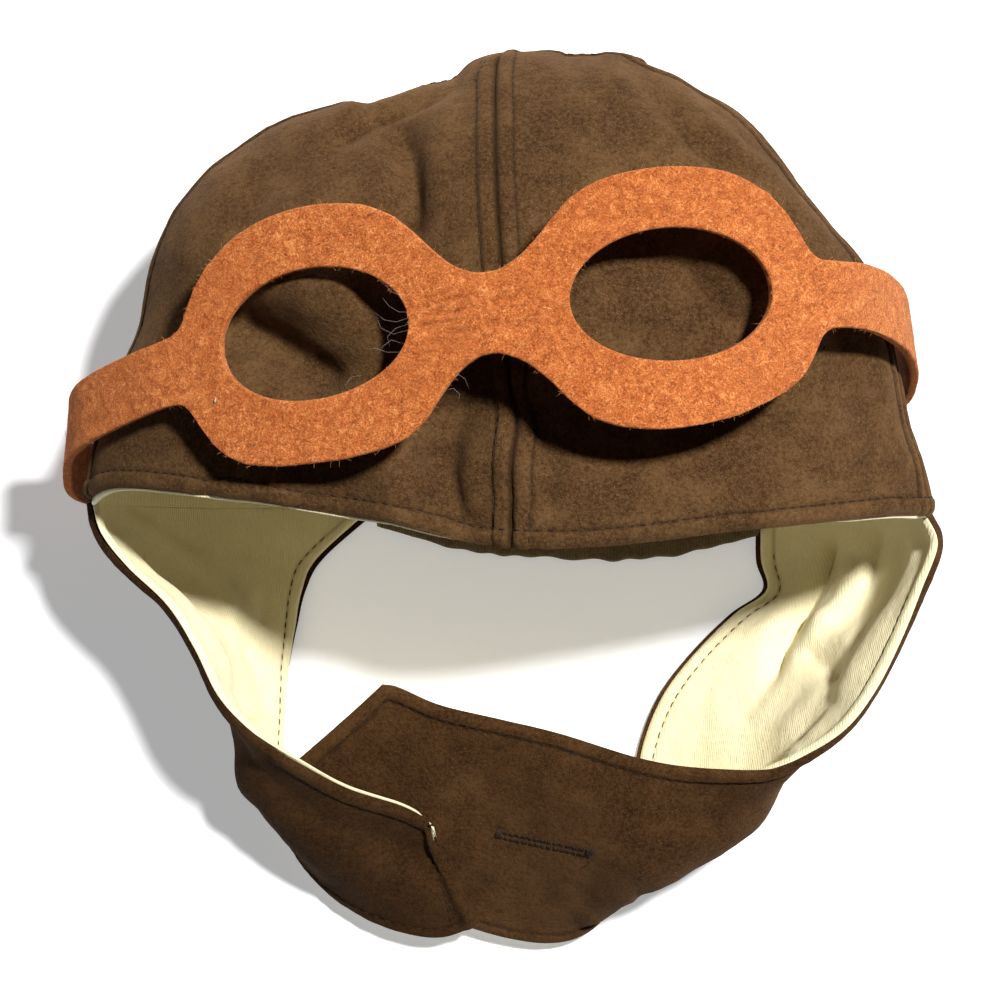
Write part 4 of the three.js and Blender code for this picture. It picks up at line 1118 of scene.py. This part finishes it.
def goggles():
    """The felt, above and below the eye holes. Returns its outer face and the ways outwards."""
    run, eyes, hole, edge = goggle_rims()
    total = run[-1]
    run_out = -RIM_CUT[0, 0] * (LENS_HALF_LENGTH + RIM_SIDE)
    bridge = sum(eyes) / 2
    stops = []
    for eye, start, end in ((eyes[0], eyes[0] - run_out, bridge), (eyes[1], bridge, eyes[1] + run_out)):
        turns = [math.pi * k / HOLE_STEPS for k in range(HOLE_STEPS + 1)]
        opened = [eye - LENS_HALF_LENGTH * math.cos(turn) for turn in turns]
        stops += np.linspace(start, opened[0], BESIDE_HOLE)[:-1].tolist() + opened
        stops += np.linspace(opened[-1], end, BESIDE_HOLE)[1:-1].tolist()
    stops += np.linspace(eyes[1] + run_out, total + eyes[0] - run_out, STRAP_STEPS)[:-1].tolist()
    stops = np.array(stops)
    place = np.interp(stops % total, run, np.arange(len(run)) / FELT_STEPS)
    centre, across, out = goggle_frame(place)
    low = hole(stops)
    share = np.array(FELT_ACROSS)
    grids = {}
    for part in (1, -1):
        high = edge(stops, part)
        height = low[:, None] + (high - low)[:, None] * share
        to_edge = np.minimum(height - low[:, None], high[:, None] - height)
        round_off = 0.45 * (1 - np.sqrt(np.maximum(1 - np.clip(1 - to_edge / 0.6, 0, 1) ** 2, 0)))
        round_off = np.where((low > 0)[:, None] | (share > 0.5)[None, :], round_off, 0)
        middle = centre[:, None] + across[:, None] * (height * part)[..., None]
        away = (stops - bridge)[:, None]
        flow = flat(np.repeat(stops[:, None] / 11, len(share), 1), height * part / 2.3)
        wrinkle = 0.3 * ripple(flow, 1.0, 3.9) * hump(away, 17)
        for along, aside, length, slope, depth in CREASES:
            off = height * part - aside - slope * (away - along)
            wrinkle -= depth * np.exp(-((off / CREASE_WIDTH) ** 2) - ((away - along) / length) ** 2)
        warp = 0.55 * ripple(middle, 34, 11.2) + 0.16 * ripple(middle, 7, 4.1)
        fuzz = 0.09 * ripple(middle, 1.7, 6.6)
        rise = warp * smooth(middle[..., 2], 2, 9)
        for face in (1, -1):
            offset = face * (FELT / 2 - round_off) + rise + (wrinkle + fuzz) * face
            grids[part, face] = middle + out[:, None] * offset[..., None]
    count, per = len(stops), len(share)
    points = np.concatenate([grids[p, f] for p in (1, -1) for f in (1, -1)], 1).reshape(-1, 3)
    column, faces = 4 * per, []

    def at(i, part, face, k):
        return (i % count) * column + (2 * part + face) * per + k

    def add_quad(i, first, second, turned):
        quad = [at(i, *first), at(i + 1, *first), at(i + 1, *second), at(i, *second)]
        faces.append(quad[::-1] if turned else quad)

    gap = np.append(stops[1:], stops[0] + total)
    open_cell = hole(0.5 * (stops + gap)) > 0
    for i in range(count):
        for part in (0, 1):
            for face in (0, 1):
                for k in range(per - 1):
                    add_quad(i, (part, face, k), (part, face, k + 1), part != face)
            add_quad(i, (part, 0, per - 1), (part, 1, per - 1), part == 1)
            if open_cell[i]:
                add_quad(i, (part, 0, 0), (part, 1, 0), part == 0)
    piece = add_mesh("goggles", points, faces, FELT_FINISH)
    outer = np.concatenate([grids[1, 1], grids[-1, 1]], 1)
    take(piece, "orange_felt", "goggles")
    return outer, out


felt_face, felt_out = goggles()

take(crown_threads.build("crown_stitches", THREAD_FINISH), "brown_suede")
take(flap_threads.build("flap_stitches", THREAD_FINISH), "brown_suede")


def on_surface(face, normals, spots):
    """Points of a grid's face that lie under spots of the picture, and their normals."""
    points, ways = face.reshape(-1, 3), normals.reshape(-1, 3)
    up = ways[:, 2] > 0.15
    points, ways = points[up], ways[up]
    seen = picture(points)
    found, out = [], []
    for spot in spots:
        far = np.linalg.norm(seen - np.array(spot), axis=1)
        near = np.argsort(far)[:6]
        weight = 1 / (far[near] + 0.3) ** 2
        weight /= weight.sum()
        found.append(weight @ points[near])
        out.append(weight @ ways[near])
    return np.array(found), unit(np.array(out))


def buttonhole():
    """A worked buttonhole: two rows of close cross stitches, a bar at each end and a loose tail."""
    first, last, wide = np.array([499, 834.0]), np.array([590, 853.0]), 4.6
    whole = np.linalg.norm(last - first)
    way = (last - first) / whole
    side = np.array([-way[1], way[0]])
    sewn = Thread()

    def lay(path, radius, lift):
        points, out = on_surface(tab_face, tab_normals, path)
        sewn.strand(points + out * np.asarray(lift)[:, None], radius)

    chance, stitches = random.Random(5), 52
    for sign in (-1, 1):
        for k in range(stitches):
            spot = first + way * (k + 0.5) / stitches * whole
            lean = way * chance.uniform(-0.5, 0.9)
            start, end = spot + side * sign * 0.7, spot + side * sign * wide + lean
            lay([start, (start + end) / 2, end], 0.2, [0.05, 0.32, 0.0])
    for end in (first, last):
        for k in range(7):
            spot = end + way * (k - 3) * 0.75
            lay([spot - side * (wide + 0.6), spot, spot + side * (wide + 0.6)], 0.22, [0.0, 0.5, 0.0])
    tail = [last, last + [3, 4], last + [-2, 9], last + [-9, 13]]
    lay(tail, 0.11, [0.4, 0.9, 0.8, 0.35])
    take(sewn.build("buttonhole_stitches", THREAD_FINISH), "brown_suede")


buttonhole()


FIBRES = 2600


def felt_fuzz():
    """Loose fibres on the felt's face and along its edges."""
    fibres, chance = Thread(), random.Random(11)
    columns = felt_face.shape[1]
    for _ in range(FIBRES):
        i = chance.randrange(len(felt_out))
        edge = chance.random() < 0.4
        k = chance.choice([0, columns - 1, columns // 2 - 1]) if edge else chance.randrange(columns)
        base, out = felt_face[i, k], felt_out[i]
        way = unit(np.array([chance.gauss(0, 1) for _ in range(3)]))
        way = unit(way - out * (way @ out) * (0.6 if edge else 0.9))
        bend = np.array([chance.gauss(0, 1) for _ in range(3)]) * 0.35
        length = chance.uniform(0.4, 1.3)
        bowed = base + way * length * 0.5 + out * 0.12 + bend * 0.3
        fibres.strand([base - out * 0.1, bowed, base + way * length + bend + out * 0.1], 0.026, 3)
    take(fibres.build("felt_fibres", FUZZ_FINISH), "orange_felt")


felt_fuzz()


# Hairs as lines in the picture
HAIRS = [
    [(409, 318), (398, 322), (386, 320), (376, 312)], [(408, 330), (394, 334), (382, 328), (378, 318)],
    [(404, 344), (392, 340), (384, 346), (378, 356)], [(408, 306), (402, 296), (392, 292), (386, 284)],
    [(410, 312), (400, 312), (390, 306), (384, 298)], [(400, 352), (388, 352), (376, 348), (366, 350)],
    [(452, 382), (460, 376), (466, 380), (470, 390)], [(446, 392), (456, 390), (462, 396), (460, 404)],
    [(352, 392), (346, 386), (352, 378), (362, 376)], [(408, 324), (396, 328), (388, 336), (390, 346)],
]


def stray_hairs():
    """Pale hairs that hang over the right eye's hole, and a speck of lint."""
    hairs = Thread()
    normals = np.repeat(felt_out[:, None], felt_face.shape[1], 1)
    for line in HAIRS:
        (base,), (out,) = on_surface(felt_face, normals, line[:1])
        spots = np.array(line, float) - line[0]
        spots *= PIXEL
        path = base + flat(spots[:, 0], -spots[:, 1]) * 0.9
        sag = np.linalg.norm(spots, axis=1)
        hairs.strand(path + out * 0.3 - np.outer(0.12 * sag, [0, 0, 1]), 0.022, 4)
    (base,), (out,) = on_surface(felt_face, normals, [(216, 401)])
    start, end = base + out * 0.1 + [0, 0.7, 0], base + out * 0.1 - [0.2, 0.6, 0]
    hairs.strand([start, base + out * 0.4, end], 0.28, 6)
    take(hairs.build("stray_hairs", LINT_FINISH), "orange_felt")


stray_hairs()

# The table top, the light and the camera

table = bpy.data.meshes.new("table_top")
half, drop = 3.0, 0.0004  # the table's half width, and how far it lies below the hat, in metres
corners = [(-half, -half, -drop), (half, -half, -drop), (half, half, -drop), (-half, half, -drop)]
table.from_pydata(corners, [], [(0, 1, 2, 3)])
table.materials.append(GLOWING_FLOOR_FINISH)
table_top = linked("table_top", table)

LIT_AT = Vector((0, 0, 0.05))


def area_light(name, place, size, power):
    lamp = bpy.data.lights.new(name, "AREA")
    lamp.shape, lamp.size, lamp.energy = "DISK", size, power
    holder = linked(name, lamp)
    holder.location = place
    holder.rotation_euler = (LIT_AT - Vector(place)).to_track_quat("-Z", "Y").to_euler()


area_light("key", (0.62, 0.61, 1.68), 0.2, 67)
area_light("fill", (-1.3, -0.5, 1.4), 1.6, 1.0)

world = bpy.data.worlds.new("soft_room")
bpy.context.scene.world = world
world.use_nodes = True
sky = world.node_tree.nodes["Background"].inputs
sky["Color"].default_value = (1.0, 1.0, 1.0, 1.0)
sky["Strength"].default_value = 0.035

lens = bpy.data.cameras.new("camera")
lens.sensor_width, lens.clip_end = 36.0, 50.0
lens.lens = lens.sensor_width * EYE_HEIGHT / (2 * MIDDLE * PIXEL)  # the table's pixels are PIXEL wide
camera = linked("camera", lens)
camera.location = (PLACE[0] * MM, PLACE[1] * MM, EYE_HEIGHT * MM)
bpy.context.scene.camera = camera
bpy.context.scene.view_settings.view_transform = "Standard"
